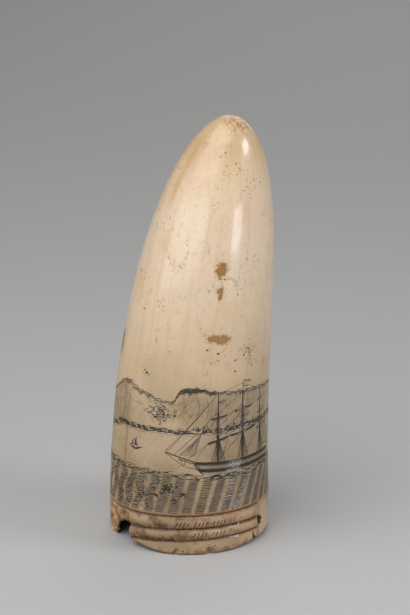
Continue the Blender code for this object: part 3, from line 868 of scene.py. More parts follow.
class LineFinder:
    """Finds how deep in an engraved line a point lies, through square cells of the skin."""
    CELL = 1.0

    def __init__(self):
        self.cells = {}
        for path, width, ink, dirt in lines:
            for i, (p, q) in enumerate(zip(path, path[1:])):
                ends = (0.0 if i == 0 else 1.0, 0.0 if i == len(path) - 2 else 1.0)
                self.add(p, q, (width, ends, ink ** FAINT, dirt))

    def add(self, p, q, line):
        """Notes a straight part of a line in every cell that it may touch."""
        reach = 0.5 * line[0]
        columns = range(int((min(p[0], q[0]) - reach) // self.CELL),
                        int((max(p[0], q[0]) + reach) // self.CELL) + 1)
        rows = range(int((min(p[1], q[1]) - reach) // self.CELL),
                     int((max(p[1], q[1]) + reach) // self.CELL) + 1)
        for i in columns:
            for j in rows:
                self.cells.setdefault((i, j), []).append((p, q, line))

    def look(self, x, y):
        """The cut's depth in mm, and the ink and dirt in it, at a place."""
        deep, inked, dirty = 0.0, 0.0, 0.0
        cell = (int(x // self.CELL), int(y // self.CELL))
        for p, q, (width, ends, ink, dirt) in self.cells.get(cell, ()):
            dx, dy = q[0] - p[0], q[1] - p[1]
            span = dx * dx + dy * dy
            along = min(max(((x - p[0]) * dx + (y - p[1]) * dy) / max(span, 1e-12), 0.0), 1.0)
            gap = math.hypot(x - p[0] - along * dx, y - p[1] - along * dy)
            half = 0.5 * width * (ends[0] + (ends[1] - ends[0]) * along)
            if half > 0.05 * width and gap < half * 0.98:
                share = 1.0 - gap / half
                deep = max(deep, share * LINE_DEPTH * width)
                inked = max(inked, share * ink)
                dirty = max(dirty, share * dirt)
        return deep, inked, dirty


def broken_share(azimuth, z):
    """1 on the flake scar, in the pit and in the chips, and 0 on the finished skin."""
    top = groove_height(TOP_GROOVE, azimuth) - 0.5 * TOP_GROOVE_WIDTH
    inside = smooth_step(azimuth, SCAR_FAR_AZIMUTH - 1.0, SCAR_FAR_AZIMUTH + 5.0)
    inside = inside * (azimuth < BREAK_AZIMUTH - BREAK_STEP) * (z < top)
    hollow = 0.0 * azimuth
    for place in HOLLOWS:
        hollow = np.maximum(hollow, (hollow_reach(azimuth, z, place) < 1.1) * 1.0)
    return np.clip(inside + hollow, 0.0, 1.0)


def hollow_shade_share(azimuth, z, rim):
    """Painted shade: how black the pit, the chips and the edge of the bite are in their depths, where
    shade falls, from 0 to 1.
    """
    result = 0.0 * azimuth
    for place in HOLLOWS:
        deep = 2.6 - 2.2 * hollow_reach(azimuth, z, place)
        result = np.maximum(result, np.clip(deep, 0.0, 1.0) * min(0.45 * place[4], 1.0))
    near_bite = np.exp(-np.maximum(z - rim, 0.0) / 1.7) * smooth_step(azimuth, -78.0, -66.0)
    return np.maximum(result, 0.8 * near_bite * (azimuth < BREAK_AZIMUTH - BREAK_STEP))


def grime_and_shade_share(azimuth, z, rim):
    """How dark the grooves, the rolls and the foot are painted, from 0 to 1: brown dirt in the
    grooves, in mottled patches on the rolls and along the foot, and painted shade in the grooves,
    on the lower part of each roll and at the rolls' right ends, all darker towards the left.
    """
    worked = carved(azimuth)
    # the grooves: brown dirt, and painted shade where the groove turns in
    result = 0.9 * np.exp(-((z - groove_height(LOW_GROOVE, azimuth)) / 0.75) ** 2) * worked
    for groove, strength in ((MIDDLE_GROOVE, 1.0), (TOP_GROOVE, 0.85)):
        under = z - groove_height(groove, azimuth)
        wide = np.where(under < 0.0, 0.65, 0.95)
        faint = 0.35 if groove is TOP_GROOVE else 0.0
        here = strength * np.exp(-(under / wide) ** 2) * (faint + (1.0 - faint) * worked)
        result = np.maximum(result, here)
    low = groove_height(LOW_GROOVE, azimuth)
    middle = groove_height(MIDDLE_GROOVE, azimuth)
    top = groove_height(TOP_GROOVE, azimuth)
    share = np.where(z < middle, (z - low) / (middle - low), (z - middle) / (top - middle))
    leftward = 1.0 - 0.38 * smooth_step(azimuth, -20.0, 30.0)
    mottled = smooth_step(rough(azimuth, z, 4.5, 7.0), -0.15, 0.5)
    # painted shade on the lower part of each roll, where it faces down, with mottled dirt over it
    shade = 0.2 + 0.5 * np.clip(1.0 - share / 0.6, 0.0, 1.0) + 0.5 * mottled * leftward
    shade = shade * worked * leftward * (z < top) * (z > low)
    foot = 0.85 * np.clip(1.0 - (z - rim) / (1.0 + 2.6 * mottled), 0.0, 1.0)
    # painted shade at the rolls' cut-off right ends beside the pit
    right_end = 0.5 * np.exp(-((azimuth - ROLLS_TO - 1.0) / 1.6) ** 2) * (z < top)
    return np.clip(np.maximum.reduce([result, shade, foot, right_end]), 0.0, 1.0)


# How dark the skin is between the lines, from 0 to 1, and what is added in parts of the picture
SEA_TONE, HATCHED_SEA, LEFT_SEA = 0.24, 0.52, -0.07
WATER_TONE, SHIP_WATER = 0.17, 0.2
LAND_TONE, WEST_LAND, EAST_LAND, SHIP_LAND = 0.08, 0.46, 0.16, 0.16
STAIN_TONE, FULL_STAIN = 0.3, 24.0       # a cluster of so many pits gets its full tone


def toned_share(azimuth, z):
    """How far lampblack and handling have darkened the skin between the lines, from 0 to 1."""
    top = groove_height(TOP_GROOVE, azimuth)
    waves = np.vectorize(wave_height)(azimuth)
    hills = np.vectorize(skyline)(azimuth)
    shore = np.vectorize(shore_height)(azimuth)
    front = 1.0 - smooth_step(np.abs(azimuth), 96.0, 128.0)
    above = smooth_step(z, top + 0.2, top + 1.8)
    sea = above * (1.0 - smooth_step(z, waves - 0.8, waves + 1.2))
    hatched = 0.0 * z
    for stripe in stripes:
        gap = np.abs(azimuth - stripe_middle(stripe, z)) / STRIPE_HALF
        hatched = np.maximum(hatched, 1.0 - smooth_step(gap, 0.75, 1.25))
    land = smooth_step(z, shore - 0.8, shore + 1.0) * (1.0 - smooth_step(z, hills - 0.5, hills + 0.9))
    water = smooth_step(z, waves - 0.8, waves + 1.2) * (1.0 - smooth_step(z, shore - 0.8, shore + 1.0))
    ship = smooth_step(azimuth, 8.0, 22.0)
    east = smooth_step(azimuth, -14.0, -6.0)
    left = 1.0 - smooth_step(azimuth, -60.0, -10.0)
    west = 1.0 - smooth_step(azimuth, -62.0, -46.0)
    result = sea * (SEA_TONE + HATCHED_SEA * hatched + LEFT_SEA * left)
    result = result + water * (WATER_TONE + SHIP_WATER * ship)
    result = result + land * (LAND_TONE + WEST_LAND * west + EAST_LAND * east + SHIP_LAND * ship)
    for azimuth_at, z_at, spread, number in SEA_STAINS:
        away = ((azimuth - azimuth_at) * ARC / spread) ** 2 + ((z - z_at) / (0.8 * spread)) ** 2
        result = result + STAIN_TONE * min(number / FULL_STAIN, 1.0) * np.exp(-0.5 * away)
    return np.clip(result, 0.0, 1.0) * front


def build_skin(rim_line):
    """Triangles of the unrolled skin, each point's azimuth, height and offset, and its paint."""
    ground = skin_groundwork(rim_line)
    whole_hull, closeness = 0, 1e-5
    points, _, faces, *_ = delaunay_2d_cdt(ground.points, ground.edges, [], whole_hull, closeness)
    flat = np.array([(p.x, p.y) for p in points])
    triangles = np.array([f for f in faces if len(f) == 3])
    rim_a = np.array([a for a, z in rim_line])
    rim_z = np.array([z for a, z in rim_line])
    middle = flat[triangles].mean(axis=1)
    above = middle[:, 1] > np.interp(middle[:, 0] / ARC, rim_a, rim_z)
    azimuth = flat[:, 0] / ARC
    z = flat[:, 1]
    rim = np.interp(azimuth, rim_a, rim_z)
    finder = LineFinder()
    cuts = np.array([finder.look(x, y) for x, y in flat])
    paint = {
        "ink": cuts[:, 1],
        # dirt in the lines and pits, with dirt and painted shade in the grooves and on the rolls
        "dirt": np.maximum(cuts[:, 2], grime_and_shade_share(azimuth, z, rim)),
        "toned": toned_share(azimuth, z),
        "broken": broken_share(azimuth, z),
        # painted shade in the depths of the hollows and at the edge of the bite
        "cavity": hollow_shade_share(azimuth, z, rim),
    }
    return triangles[above], azimuth, z, relief(azimuth, z, rim) - cuts[:, 0], paint


# The baked picture's charts, as shares of its width and height
FRONT_CHART = (0.0, 0.385, 0.888, 0.615)
INSIDE_CHART = (0.897, 0.385, 0.103, 0.615)
CROWN_CHART = (0.0, 0.0, 0.693, 0.378)
BACK_CHART = (0.70, 0.0, 0.30, 0.27)
CHART_MARGIN = 0.003
INSIDE_LEFT = -198.0                  # leaves a margin past the seam at -180
INSIDE_REACH = 1.9 * CAVITY_DEPTH     # more than the way from the rim in to the cavity's end
PAINTS = ("ink", "dirt", "toned", "broken", "cavity")


class ToothMesh:
    """Collects the points, faces and paint of the whole tooth."""

    def __init__(self):
        self.points = []
        self.faces = []
        self.inside = []
        self.places = []
        self.paint = {name: [] for name in PAINTS}

    def add(self, azimuth, z, radius, **paint):
        """Adds points with their paint, and gives back the number of the first."""
        azimuth, z, radius = np.broadcast_arrays(azimuth, z, radius)
        first = len(self.points)
        self.points.extend(wall_points(azimuth, z, radius).tolist())
        self.places.extend(np.stack([azimuth, z], axis=-1).tolist())
        for name in PAINTS:
            values = np.broadcast_to(paint.get(name, 0.0), azimuth.shape)
            self.paint[name].extend(values.tolist())
        return first

    def cover(self, faces, inside=False):
        """Adds faces, which lie on the rim or in the cavity where inside is True."""
        self.faces.extend(faces)
        self.inside.extend([inside] * len(faces))

    def band(self, first, second, count, inside=False):
        """Four-sided faces between two rings of count points that don't close."""
        self.cover([(first + i, first + i + 1, second + i + 1, second + i) for i in range(count - 1)],
                   inside)


def cavity_radius(z):
    """Half the pulp cavity's width at a height."""
    share = np.clip(z / CAVITY_DEPTH, 0.0, 1.0)
    return (HALF_WIDTH - RIM_WALL) * (1.0 - share ** CAVITY_TAPER)


def add_tip(mesh):
    """The plain tip, in rings that close to a point."""
    columns = np.linspace(-180.0, 180.0, TIP_SIDES + 1)
    previous = None
    for ring in range(TIP_RINGS + 1):
        share = ring / (TIP_RINGS + 0.6)
        level = SKIN_TOP + (HEIGHT - SKIN_TOP) * (1.0 - (1.0 - share) ** 1.9)
        offsets = relief(columns, np.full_like(columns, level), rim=0.0)
        start = mesh.add(columns, level, half_width(level) + offsets)
        if previous is not None:
            mesh.band(previous, start, TIP_SIDES + 1)
        previous = start
    tip = mesh.add(np.array([0.0]), np.array([HEIGHT]), np.array([0.0]))
    mesh.cover([(previous + i, previous + i + 1, tip) for i in range(TIP_SIDES)])


def add_rim_and_cavity(mesh, around, rims):
    """The rim, sawn flat or broken, and the pulp cavity, whose depths are painted dark as shade."""
    count = len(around)
    # painted shade: the bite's broken faces are painted near black, where they lie in shade
    bite_shade = 0.9 * ((around > BITE_FAR_AZIMUTH) & (around < BREAK_AZIMUTH))
    raw = 0.35 * rough(around, rims, 2.0, 5.0) * (rims > 0.3)
    middle_around = undercut(around, 0.5 * RIM_WALL)
    inner_around = undercut(around, RIM_WALL)
    outer = mesh.add(around, rims, half_width(rims) + relief(around, rims, rims),
                     broken=1.0, cavity=bite_shade)
    # painted shade on the rim's inner half, darker towards the cavity
    middle = mesh.add(middle_around, np.maximum(rims + raw, 0.0), half_width(rims) - 0.5 * RIM_WALL,
                      broken=1.0, cavity=np.maximum(bite_shade, 0.1))
    inner = mesh.add(inner_around, rims, cavity_radius(rims),
                     broken=1.0, cavity=np.maximum(bite_shade, 0.45))
    mesh.band(middle, outer, count, True)
    mesh.band(inner, middle, count, True)
    previous = inner
    for ring in range(1, CAVITY_RINGS + 1):
        share = ring / (CAVITY_RINGS + 0.5)
        levels = rims + (CAVITY_DEPTH - rims) * share
        turned = undercut(around, RIM_WALL * (1.0 - share))
        # painted shade, darker deeper into the cavity
        dark = np.clip(0.5 + 0.035 * (levels - rims), 0.0, 1.0)
        start = mesh.add(turned, levels, cavity_radius(levels),
                         broken=1.0, cavity=np.maximum(bite_shade, dark))
        mesh.band(start, previous, count, True)
        previous = start
    end = mesh.add(np.array([0.0]), np.array([CAVITY_DEPTH]), np.array([0.0]), broken=1.0, cavity=1.0)
    mesh.cover([(previous + i + 1, previous + i, end) for i in range(count - 1)], True)


def build_tooth():
    """The whole tooth as one closed mesh."""
    mesh = ToothMesh()
    around = rim_azimuths()
    rims = rim_height(around)
    rims[-1] = rims[0]
    triangles, azimuth, z, offset, paint = build_skin(list(zip(around.tolist(), rims.tolist())))
    first = mesh.add(azimuth, z, half_width(z) + offset, **paint)
    mesh.cover((triangles + first).tolist())
    add_tip(mesh)
    add_rim_and_cavity(mesh, around, rims)
    return mesh


LEVELS = np.linspace(0.0, HEIGHT, 8 * int(HEIGHT) + 1)
MERIDIAN = np.concatenate([[0.0], np.cumsum(np.hypot(np.diff(LEVELS), np.diff(half_width(LEVELS))))])


def up_the_wall(z):
    """The way up the wall to a height, in millimetres along its surface."""
    return np.interp(z, LEVELS, MERIDIAN)


def on_chart(chart, across, up):
    """A place on a chart of the baked picture."""
    left, bottom, wide, tall = chart
    across = CHART_MARGIN + (wide - 2.0 * CHART_MARGIN) * np.clip(across, 0.0, 1.0)
    up = CHART_MARGIN + (tall - 2.0 * CHART_MARGIN) * np.clip(up, 0.0, 1.0)
    return np.stack([left + across, bottom + up], axis=-1)


def bake_places(places, faces, inside, points):
    """Where each corner of each face lies in the baked picture."""
    result = []
    crown_low, crown_high = up_the_wall(BAKE_TOP), up_the_wall(HEIGHT)
    for corners, hidden in zip(faces, inside):
        azimuth, z = places[list(corners)].T
        if hidden:
            deep = up_the_wall(z) + (HALF_WIDTH - np.hypot(*points[list(corners)].T[:2]))
            around = (azimuth - INSIDE_LEFT) / (180.0 - INSIDE_LEFT)
            result.extend(on_chart(INSIDE_CHART, deep / INSIDE_REACH, around))
            continue
        azimuth = np.where(z >= HEIGHT, azimuth[0], azimuth)
        middle_azimuth, middle_z = azimuth.mean(), z.mean()
        if middle_z > BAKE_TOP:
            up = (up_the_wall(z) - crown_low) / (crown_high - crown_low)
            result.extend(on_chart(CROWN_CHART, (azimuth + 180.0) / 360.0, up))
        elif abs(middle_azimuth) < BAKE_SIDE:
            result.extend(on_chart(FRONT_CHART, 0.5 + 0.5 * azimuth / BAKE_SIDE, z / BAKE_TOP))
        else:
            turned = azimuth + (360.0 if middle_azimuth < 0.0 else 0.0)
            across = (turned - BAKE_SIDE) / (360.0 - 2.0 * BAKE_SIDE)
            result.extend(on_chart(BACK_CHART, across, z / BAKE_TOP))
    return np.array(result)


def make_piece(name, mesh):
    """A mesh object of the collected points, centred where the solid is."""
    points = np.array(mesh.points)
    shift = 0.5 * (np.array(cad_low) + np.array(cad_high)) / MM
    shift = shift - 0.5 * (points.min(axis=0) + points.max(axis=0))
    shift[2] = cad_low[2] / MM - points[:, 2].min()
    data = bpy.data.meshes.new(name)
    data.from_pydata(((points + shift) * MM).tolist(), [], mesh.faces)
    for label in PAINTS:
        attribute = data.attributes.new(label, "FLOAT", "POINT")
        attribute.data.foreach_set("value", np.array(mesh.paint[label], dtype=np.float32))
    corners = np.zeros(len(data.loops), dtype=np.int32)
    data.loops.foreach_get("vertex_index", corners)
    places = np.array(mesh.places)
    unrolled = places[corners] * (ARC * MM, MM)
    baked = bake_places(places, mesh.faces, mesh.inside, points)
    for label, values in (("unrolled", unrolled), ("OFBake", baked)):
        uv_map = data.uv_layers.new(name=label)
        uv_map.data.foreach_set("uv", values.astype(np.float32).ravel())
    broken = np.array(mesh.paint["broken"])
    slots = [1 if broken[list(face)].min() > 0.5 else 0 for face in mesh.faces]
    data.polygons.foreach_set("material_index", np.array(slots, dtype=np.int32))
    piece = bpy.data.objects.new(name, data)
    bpy.context.scene.collection.objects.link(piece)
    return piece


def deselect_all():
    bpy.ops.object.select_all(action="DESELECT")


WELD_REACH = 0.003 * MM
SLIVER = 0.001 * MM
CREASE = 28.0         # degrees, past which an edge stays sharp


def weld_and_smooth(piece):
    """Joins the skin, the tip and the cavity, and shades all but the sharp edges smooth."""
    deselect_all()
    piece.select_set(True)
    bpy.context.view_layer.objects.active = piece
    bpy.ops.object.mode_set(mode="EDIT")
    bpy.ops.mesh.select_all(action="SELECT")
    bpy.ops.mesh.remove_doubles(threshold=WELD_REACH)
    bpy.ops.mesh.fill_holes(sides=8)
    bpy.ops.mesh.dissolve_degenerate(threshold=SLIVER)
    bpy.ops.object.mode_set(mode="OBJECT")
    bpy.ops.object.shade_smooth_by_angle(angle=math.radians(CREASE))


def hex_colour(code):
    """A linear colour from an sRGB hex value."""
    result = []
    for i in (1, 3, 5):
        value = int(code[i:i + 2], 16) / 255.0
        result.append(value / 12.92 if value <= 0.04045 else ((value + 0.055) / 1.055) ** 2.4)
    return (*result, 1.0)


def add_node(tree, kind, settings=None, inputs=None, links=None):
    """Adds a node with its settings, its socket values and its links from other sockets."""
    node = tree.nodes.new(kind)
    for key, value in (settings or {}).items():
        setattr(node, key, value)
    for key, value in (inputs or {}).items():
        node.inputs[key].default_value = value
    for key, socket in (links or {}).items():
        tree.links.new(socket, node.inputs[key])
    return node


def new_material(name):
    """An empty material, its node tree and its shader."""
    material = bpy.data.materials.new(name)
    material.use_nodes = True
    tree = material.node_tree
    return material, tree, tree.nodes["Principled BSDF"]


def set_stops(ramp, stops):
    """Colour stops of a ramp: a position and a hex value each."""
    elements = ramp.color_ramp.elements
    while len(elements) > 1:
        elements.remove(elements[0])
    for i, (position, code) in enumerate(stops):
        element = elements[0] if i == 0 else elements.new(position)
        element.position = position
        element.color = hex_colour(code)


def per_size(millimetres):
    """The scale of a pattern whose marks are a size apart."""
    return 1.0 / (millimetres * MM)


# The ivory's colour by height, as a share of the tooth's: tan at the foot, creamy on the crown. The
# darkening towards the foot is partly painted shade, where the light falls off downwards
IVORY_AND_SHADE_BY_HEIGHT = (
    (0.00, "#aa9374"), (0.09, "#a58e6c"), (0.12, "#9b8360"), (0.19, "#9f8663"), (0.28, "#b19a73"),
    (0.39, "#bba37e"), (0.50, "#ccb38d"), (0.64, "#e6ceae"), (0.82, "#eed8bb"), (0.91, "#ebd3b2"),
    (0.96, "#e5c8a2"), (1.00, "#d9ba90"),
)
# Amber patches where the outer layer has worn or flaked away, as ovals that run into each other:
# azimuth, height, half width and half height in mm
AMBER = (
    (11.4, 108.9, 2.5, 2.9), (12.6, 101.2, 1.5, 1.4), (12.8, 99.6, 0.9, 2.2),
    (11.6, 83.8, 3.0, 1.3), (18.0, 83.1, 3.2, 1.75),
)
# Golden stains that fade out
GOLDEN = (
    (-56.0, 147.0, 4.0, 7.0), (-58.0, 137.0, 3.2, 8.0), (-6.8, 57.4, 1.7, 3.4),
)
# The reddish worn edge at the left
RUSSET = ((-81.0, 76.0, 2.6, 5.6),)


def nearest_oval(tree, place, ovals):
    """How far a place is from the nearest of some ovals, as a share of its size: 1 at its edge."""
    nearest = None
    for azimuth, z, half_wide, half_tall in ovals:
        centre = (-azimuth * ARC * MM, -z * MM, 0.0)
        moved = add_node(tree, "ShaderNodeVectorMath", {"operation": "ADD"}, {1: centre}, {0: place})
        size = (1.0 / (half_wide * MM), 1.0 / (half_tall * MM), 0.0)
        scaled = add_node(tree, "ShaderNodeVectorMath", {"operation": "MULTIPLY"}, {1: size},
                          {0: moved.outputs["Vector"]})
        away = add_node(tree, "ShaderNodeVectorMath", {"operation": "LENGTH"}, None,
                        {0: scaled.outputs["Vector"]}).outputs["Value"]
        if nearest is None:
            nearest = away
        else:
            nearest = add_node(tree, "ShaderNodeMath", {"operation": "SMOOTH_MIN"}, {2: 0.2},
                               {0: nearest, 1: away}).outputs["Value"]
    return nearest


def layer(tree, under, over, pattern, start, full, most):
    """A colour laid over another where a pattern runs from one level to the next."""
    share = add_node(tree, "ShaderNodeMapRange", {"interpolation_type": "SMOOTHSTEP"},
                     {"From Min": start, "From Max": full, "To Max": most}, {"Value": pattern})
    laid = add_node(tree, "ShaderNodeMix", {"data_type": "RGBA"}, {7: hex_colour(over)},
                    {0: share.outputs["Result"], 6: under})
    return laid.outputs[2]


def aged_ivory():
    """Tooth ivory, polished and then handled for long. It is warm and waxy, creamy on the crown and
    tan at the foot, the foot darker also as painted shade, with cloudy yellow and pink areas, faint
    upright growth bands, amber flakes, lampblack and brown dirt in whatever is cut into it, and
    painted shade in the grooves, under the rolls and in the depths of the pits and chips."""
    material, tree, shader = new_material("aged tooth ivory, polished and handled")
    solid = add_node(tree, "ShaderNodeTexCoord").outputs["Object"]
    place = add_node(tree, "ShaderNodeUVMap", {"uv_map": "unrolled"}).outputs["UV"]
    parts = add_node(tree, "ShaderNodeSeparateXYZ", None, None, {"Vector": solid}).outputs
    paint = {}
    for name in PAINTS:
        paint[name] = add_node(tree, "ShaderNodeAttribute", {"attribute_name": name}).outputs["Fac"]

    # tan foot, cream crown and a yellower tip, with an uneven change from one to the next; the darker
    # foot is partly painted shade
    drift = add_node(tree, "ShaderNodeTexNoise", None, {"Scale": per_size(45.0), "Detail": 3.0},
                     {"Vector": solid}).outputs["Fac"]
    raised = add_node(tree, "ShaderNodeMath", {"operation": "MULTIPLY_ADD"}, {1: 0.02},
                      {0: drift, 2: parts["Z"]}).outputs["Value"]
    level = add_node(tree, "ShaderNodeMath", {"operation": "DIVIDE"}, {1: HEIGHT * MM},
                     {0: raised}).outputs["Value"]
    ramp = add_node(tree, "ShaderNodeValToRGB", None, None, {"Fac": level})
    set_stops(ramp, IVORY_AND_SHADE_BY_HEIGHT)

    # cloudy areas about 22 mm across, some pinker and some yellower
    pinker = add_node(tree, "ShaderNodeTexNoise", None, {"Scale": per_size(22.0), "Detail": 3.0},
                      {"Vector": solid}).outputs["Fac"]
    yellower = add_node(tree, "ShaderNodeTexNoise", None, {"Scale": per_size(17.0), "Detail": 4.0},
                        {"Vector": solid}).outputs["Fac"]
    colour = layer(tree, ramp.outputs["Color"], "#f2cfb4", pinker, 0.42, 0.68, 0.38)
    colour = layer(tree, colour, "#dfbd88", yellower, 0.50, 0.72, 0.45)

    # upright growth bands, 2.5 mm wide and many times as long
    lengthwise = add_node(tree, "ShaderNodeVectorMath", {"operation": "MULTIPLY"},
                          {1: (per_size(2.5), per_size(50.0), 0.0)}, {0: place}).outputs["Vector"]
    bands = add_node(tree, "ShaderNodeTexNoise", None, {"Scale": 1.0, "Detail": 2.0},
                     {"Vector": lengthwise}).outputs["Fac"]
    colour = layer(tree, colour, "#b98f5a", bands, 0.45, 0.75, 0.16)

    # mottling 2 mm across, and specks of dirt, drawn at 0.9 mm so that they still show
    mottled = add_node(tree, "ShaderNodeTexNoise", None, {"Scale": per_size(2.0), "Detail": 3.0},
                       {"Vector": solid}).outputs["Fac"]
    specks = add_node(tree, "ShaderNodeTexNoise", None, {"Scale": per_size(0.9), "Detail": 1.0},
                      {"Vector": solid}).outputs["Fac"]
    patchy = add_node(tree, "ShaderNodeTexNoise", None, {"Scale": per_size(9.0), "Detail": 3.0},
                      {"Vector": solid}).outputs["Fac"]
    speckled = add_node(tree, "ShaderNodeMath", {"operation": "MULTIPLY"}, None,
                        {0: specks, 1: patchy}).outputs["Value"]
    colour = layer(tree, colour, "#b48a58", mottled, 0.50, 0.80, 0.24)
    colour = layer(tree, colour, "#8f6038", speckled, 0.39, 0.46, 0.55)

    # stains round the ovals, their edges frayed by the bands and the mottling
    frayed = add_node(tree, "ShaderNodeMath", {"operation": "ADD"}, None,
                      {0: bands, 1: mottled}).outputs["Value"]
    golden = add_node(tree, "ShaderNodeMath", {"operation": "ADD"}, None,
                      {0: nearest_oval(tree, place, GOLDEN), 1: frayed}).outputs["Value"]
    colour = layer(tree, colour, "#c6965a", golden, 2.5, 1.0, 0.52)
    russet = add_node(tree, "ShaderNodeMath", {"operation": "ADD"}, None,
                      {0: nearest_oval(tree, place, RUSSET), 1: frayed}).outputs["Value"]
    colour = layer(tree, colour, "#83503a", russet, 2.3, 1.4, 0.8)

    # amber flakes with ragged dark edges, paler in places inside
    flaked = add_node(tree, "ShaderNodeTexNoise", None,
                      {"Scale": per_size(1.2), "Detail": 4.0, "Roughness": 0.7},
                      {"Vector": place}).outputs["Fac"]
    amber = add_node(tree, "ShaderNodeMath", {"operation": "MULTIPLY_ADD"}, {1: 2.0},
                     {0: flaked, 2: nearest_oval(tree, place, AMBER)}).outputs["Value"]
    colour = layer(tree, colour, "#c79a54", amber, 2.6, 1.85, 0.5)
    colour = layer(tree, colour, "#8c622e", amber, 2.1, 1.75, 0.9)
    colour = layer(tree, colour, "#b0813c", amber, 1.9, 1.3, 0.72)

    # the tip's crackle, cells about 2.2 mm across, with brown in the cracks
    wander = add_node(tree, "ShaderNodeTexNoise", None, {"Scale": per_size(1.5), "Detail": 3.0},
                      {"Vector": solid}).outputs["Color"]
    bent = add_node(tree, "ShaderNodeVectorMath", {"operation": "MULTIPLY_ADD"},
                    {1: (2.2 * MM, 2.2 * MM, 2.2 * MM)}, {0: wander, 2: solid}).outputs["Vector"]
    cells = add_node(tree, "ShaderNodeTexVoronoi", {"feature": "DISTANCE_TO_EDGE"},
                     {"Scale": per_size(2.2), "Randomness": 1.0}, {"Vector": bent}).outputs["Distance"]
    cracks = add_node(tree, "ShaderNodeMapRange", None, {"From Max": 0.16, "To Min": 1.0, "To Max": 0.0},
                      {"Value": cells}).outputs["Result"]
    high = add_node(tree, "ShaderNodeMapRange", None, {"From Min": 0.152, "From Max": 0.158},
                    {"Value": parts["Z"]}).outputs["Result"]
    right = add_node(tree, "ShaderNodeMapRange", None,
                     {"From Min": 0.010, "From Max": 0.015, "To Min": 0.1}, {"Value": parts["X"]})
    crackled = add_node(tree, "ShaderNodeMath", {"operation": "MULTIPLY"}, None,
                        {0: cracks, 1: high}).outputs["Value"]
    crackled = add_node(tree, "ShaderNodeMath", {"operation": "MULTIPLY"}, None,
                        {0: crackled, 1: right.outputs["Result"]}).outputs["Value"]
    colour = layer(tree, colour, "#a0683f", crackled, 0.1, 0.9, 0.75)

    # lampblack rubbed into the skin between the picture's lines, in cloudy patches
    cloudy = add_node(tree, "ShaderNodeTexNoise", None, {"Scale": per_size(3.5), "Detail": 3.0},
                      {"Vector": place}).outputs["Fac"]
    rubbed = add_node(tree, "ShaderNodeMapRange", None,
                      {"From Min": 0.25, "From Max": 0.75, "To Min": 0.72, "To Max": 1.3},
                      {"Value": cloudy}).outputs["Result"]
    toned = add_node(tree, "ShaderNodeMath", {"operation": "MULTIPLY"}, None,
                     {0: paint["toned"], 1: rubbed}).outputs["Value"]
    toned_colour = add_node(tree, "ShaderNodeMix", {"data_type": "RGBA"}, {7: hex_colour("#716248")},
                            {0: toned, 6: colour}).outputs[2]

    # brown dirt and painted shade from the grooves and rolls, pale where thin, then lampblack in the
    # lines, and black painted shade in the depths of the pits, the chips and the bite
    gathered = add_node(tree, "ShaderNodeTexNoise", None, {"Scale": per_size(1.3), "Detail": 3.0},
                        {"Vector": place}).outputs["Fac"]
    patches = add_node(tree, "ShaderNodeMapRange", None,
                       {"From Min": 0.25, "From Max": 0.7, "To Min": 0.6, "To Max": 1.15},
                       {"Value": gathered}).outputs["Result"]
    dirt = add_node(tree, "ShaderNodeMath", {"operation": "MULTIPLY", "use_clamp": True}, None,
                    {0: paint["dirt"], 1: patches}).outputs["Value"]
    colour = layer(tree, toned_colour, "#9e7040", dirt, 0.0, 0.45, 0.62)
    colour = layer(tree, colour, "#3f2b18", dirt, 0.15, 1.0, 0.95)
    colour = layer(tree, colour, "#1b1814", paint["ink"], 0.0, 0.32, 0.96)
    # painted shade: near black in the depths of the pit, the chips, the bite and the cavity
    colour = layer(tree, colour, "#0e0a07", paint["cavity"], 0.0, 0.8, 1.0)
    tree.links.new(colour, shader.inputs["Base Color"])

    # glossy where hands have polished the crown, duller at the foot and matt in the dirt
    worn = add_node(tree, "ShaderNodeMapRange", {"interpolation_type": "SMOOTHSTEP"},
                    {"From Min": 0.05, "From Max": 0.1, "To Min": 0.44, "To Max": 0.23},
                    {"Value": parts["Z"]}).outputs["Result"]
    smeared = add_node(tree, "ShaderNodeMath", {"operation": "MULTIPLY_ADD"}, {1: 0.12},
                       {0: patchy, 2: worn}).outputs["Value"]
    filled = add_node(tree, "ShaderNodeMath", {"operation": "MAXIMUM"}, None,
                      {0: dirt, 1: paint["ink"]}).outputs["Value"]
    matt = add_node(tree, "ShaderNodeMath", {"operation": "MULTIPLY_ADD"}, {1: 0.4},
                    {0: filled, 2: smeared}).outputs["Value"]
    tree.links.new(matt, shader.inputs["Roughness"])

    # the grain of polishing, drawn at 0.7 mm so that it shows, and ripples 7 mm apart in the gloss
    scratched = add_node(tree, "ShaderNodeTexNoise", None, {"Scale": per_size(0.7), "Detail": 3.0},
                         {"Vector": solid}).outputs["Fac"]
    rippled = add_node(tree, "ShaderNodeTexNoise", None, {"Scale": per_size(7.0), "Detail": 3.0},
                       {"Vector": solid}).outputs["Fac"]
    grain = add_node(tree, "ShaderNodeBump", None, {"Strength": 0.35, "Distance": 0.04 * MM},
                     {"Height": scratched}).outputs["Normal"]
    ripple = add_node(tree, "ShaderNodeBump", None, {"Strength": 0.5, "Distance": 0.3 * MM},
                      {"Height": rippled, "Normal": grain}).outputs["Normal"]
    tree.links.new(ripple, shader.inputs["Normal"])
    shader.inputs["IOR"].default_value = 1.54
    shader.inputs["Subsurface Weight"].default_value = 0.12
    shader.inputs["Subsurface Scale"].default_value = 1.6 * MM
    shader.inputs["Subsurface Radius"].default_value = (1.0, 0.62, 0.36)
    shader.inputs["Coat Weight"].default_value = 0.42
    shader.inputs["Coat Roughness"].default_value = 0.06
    return material


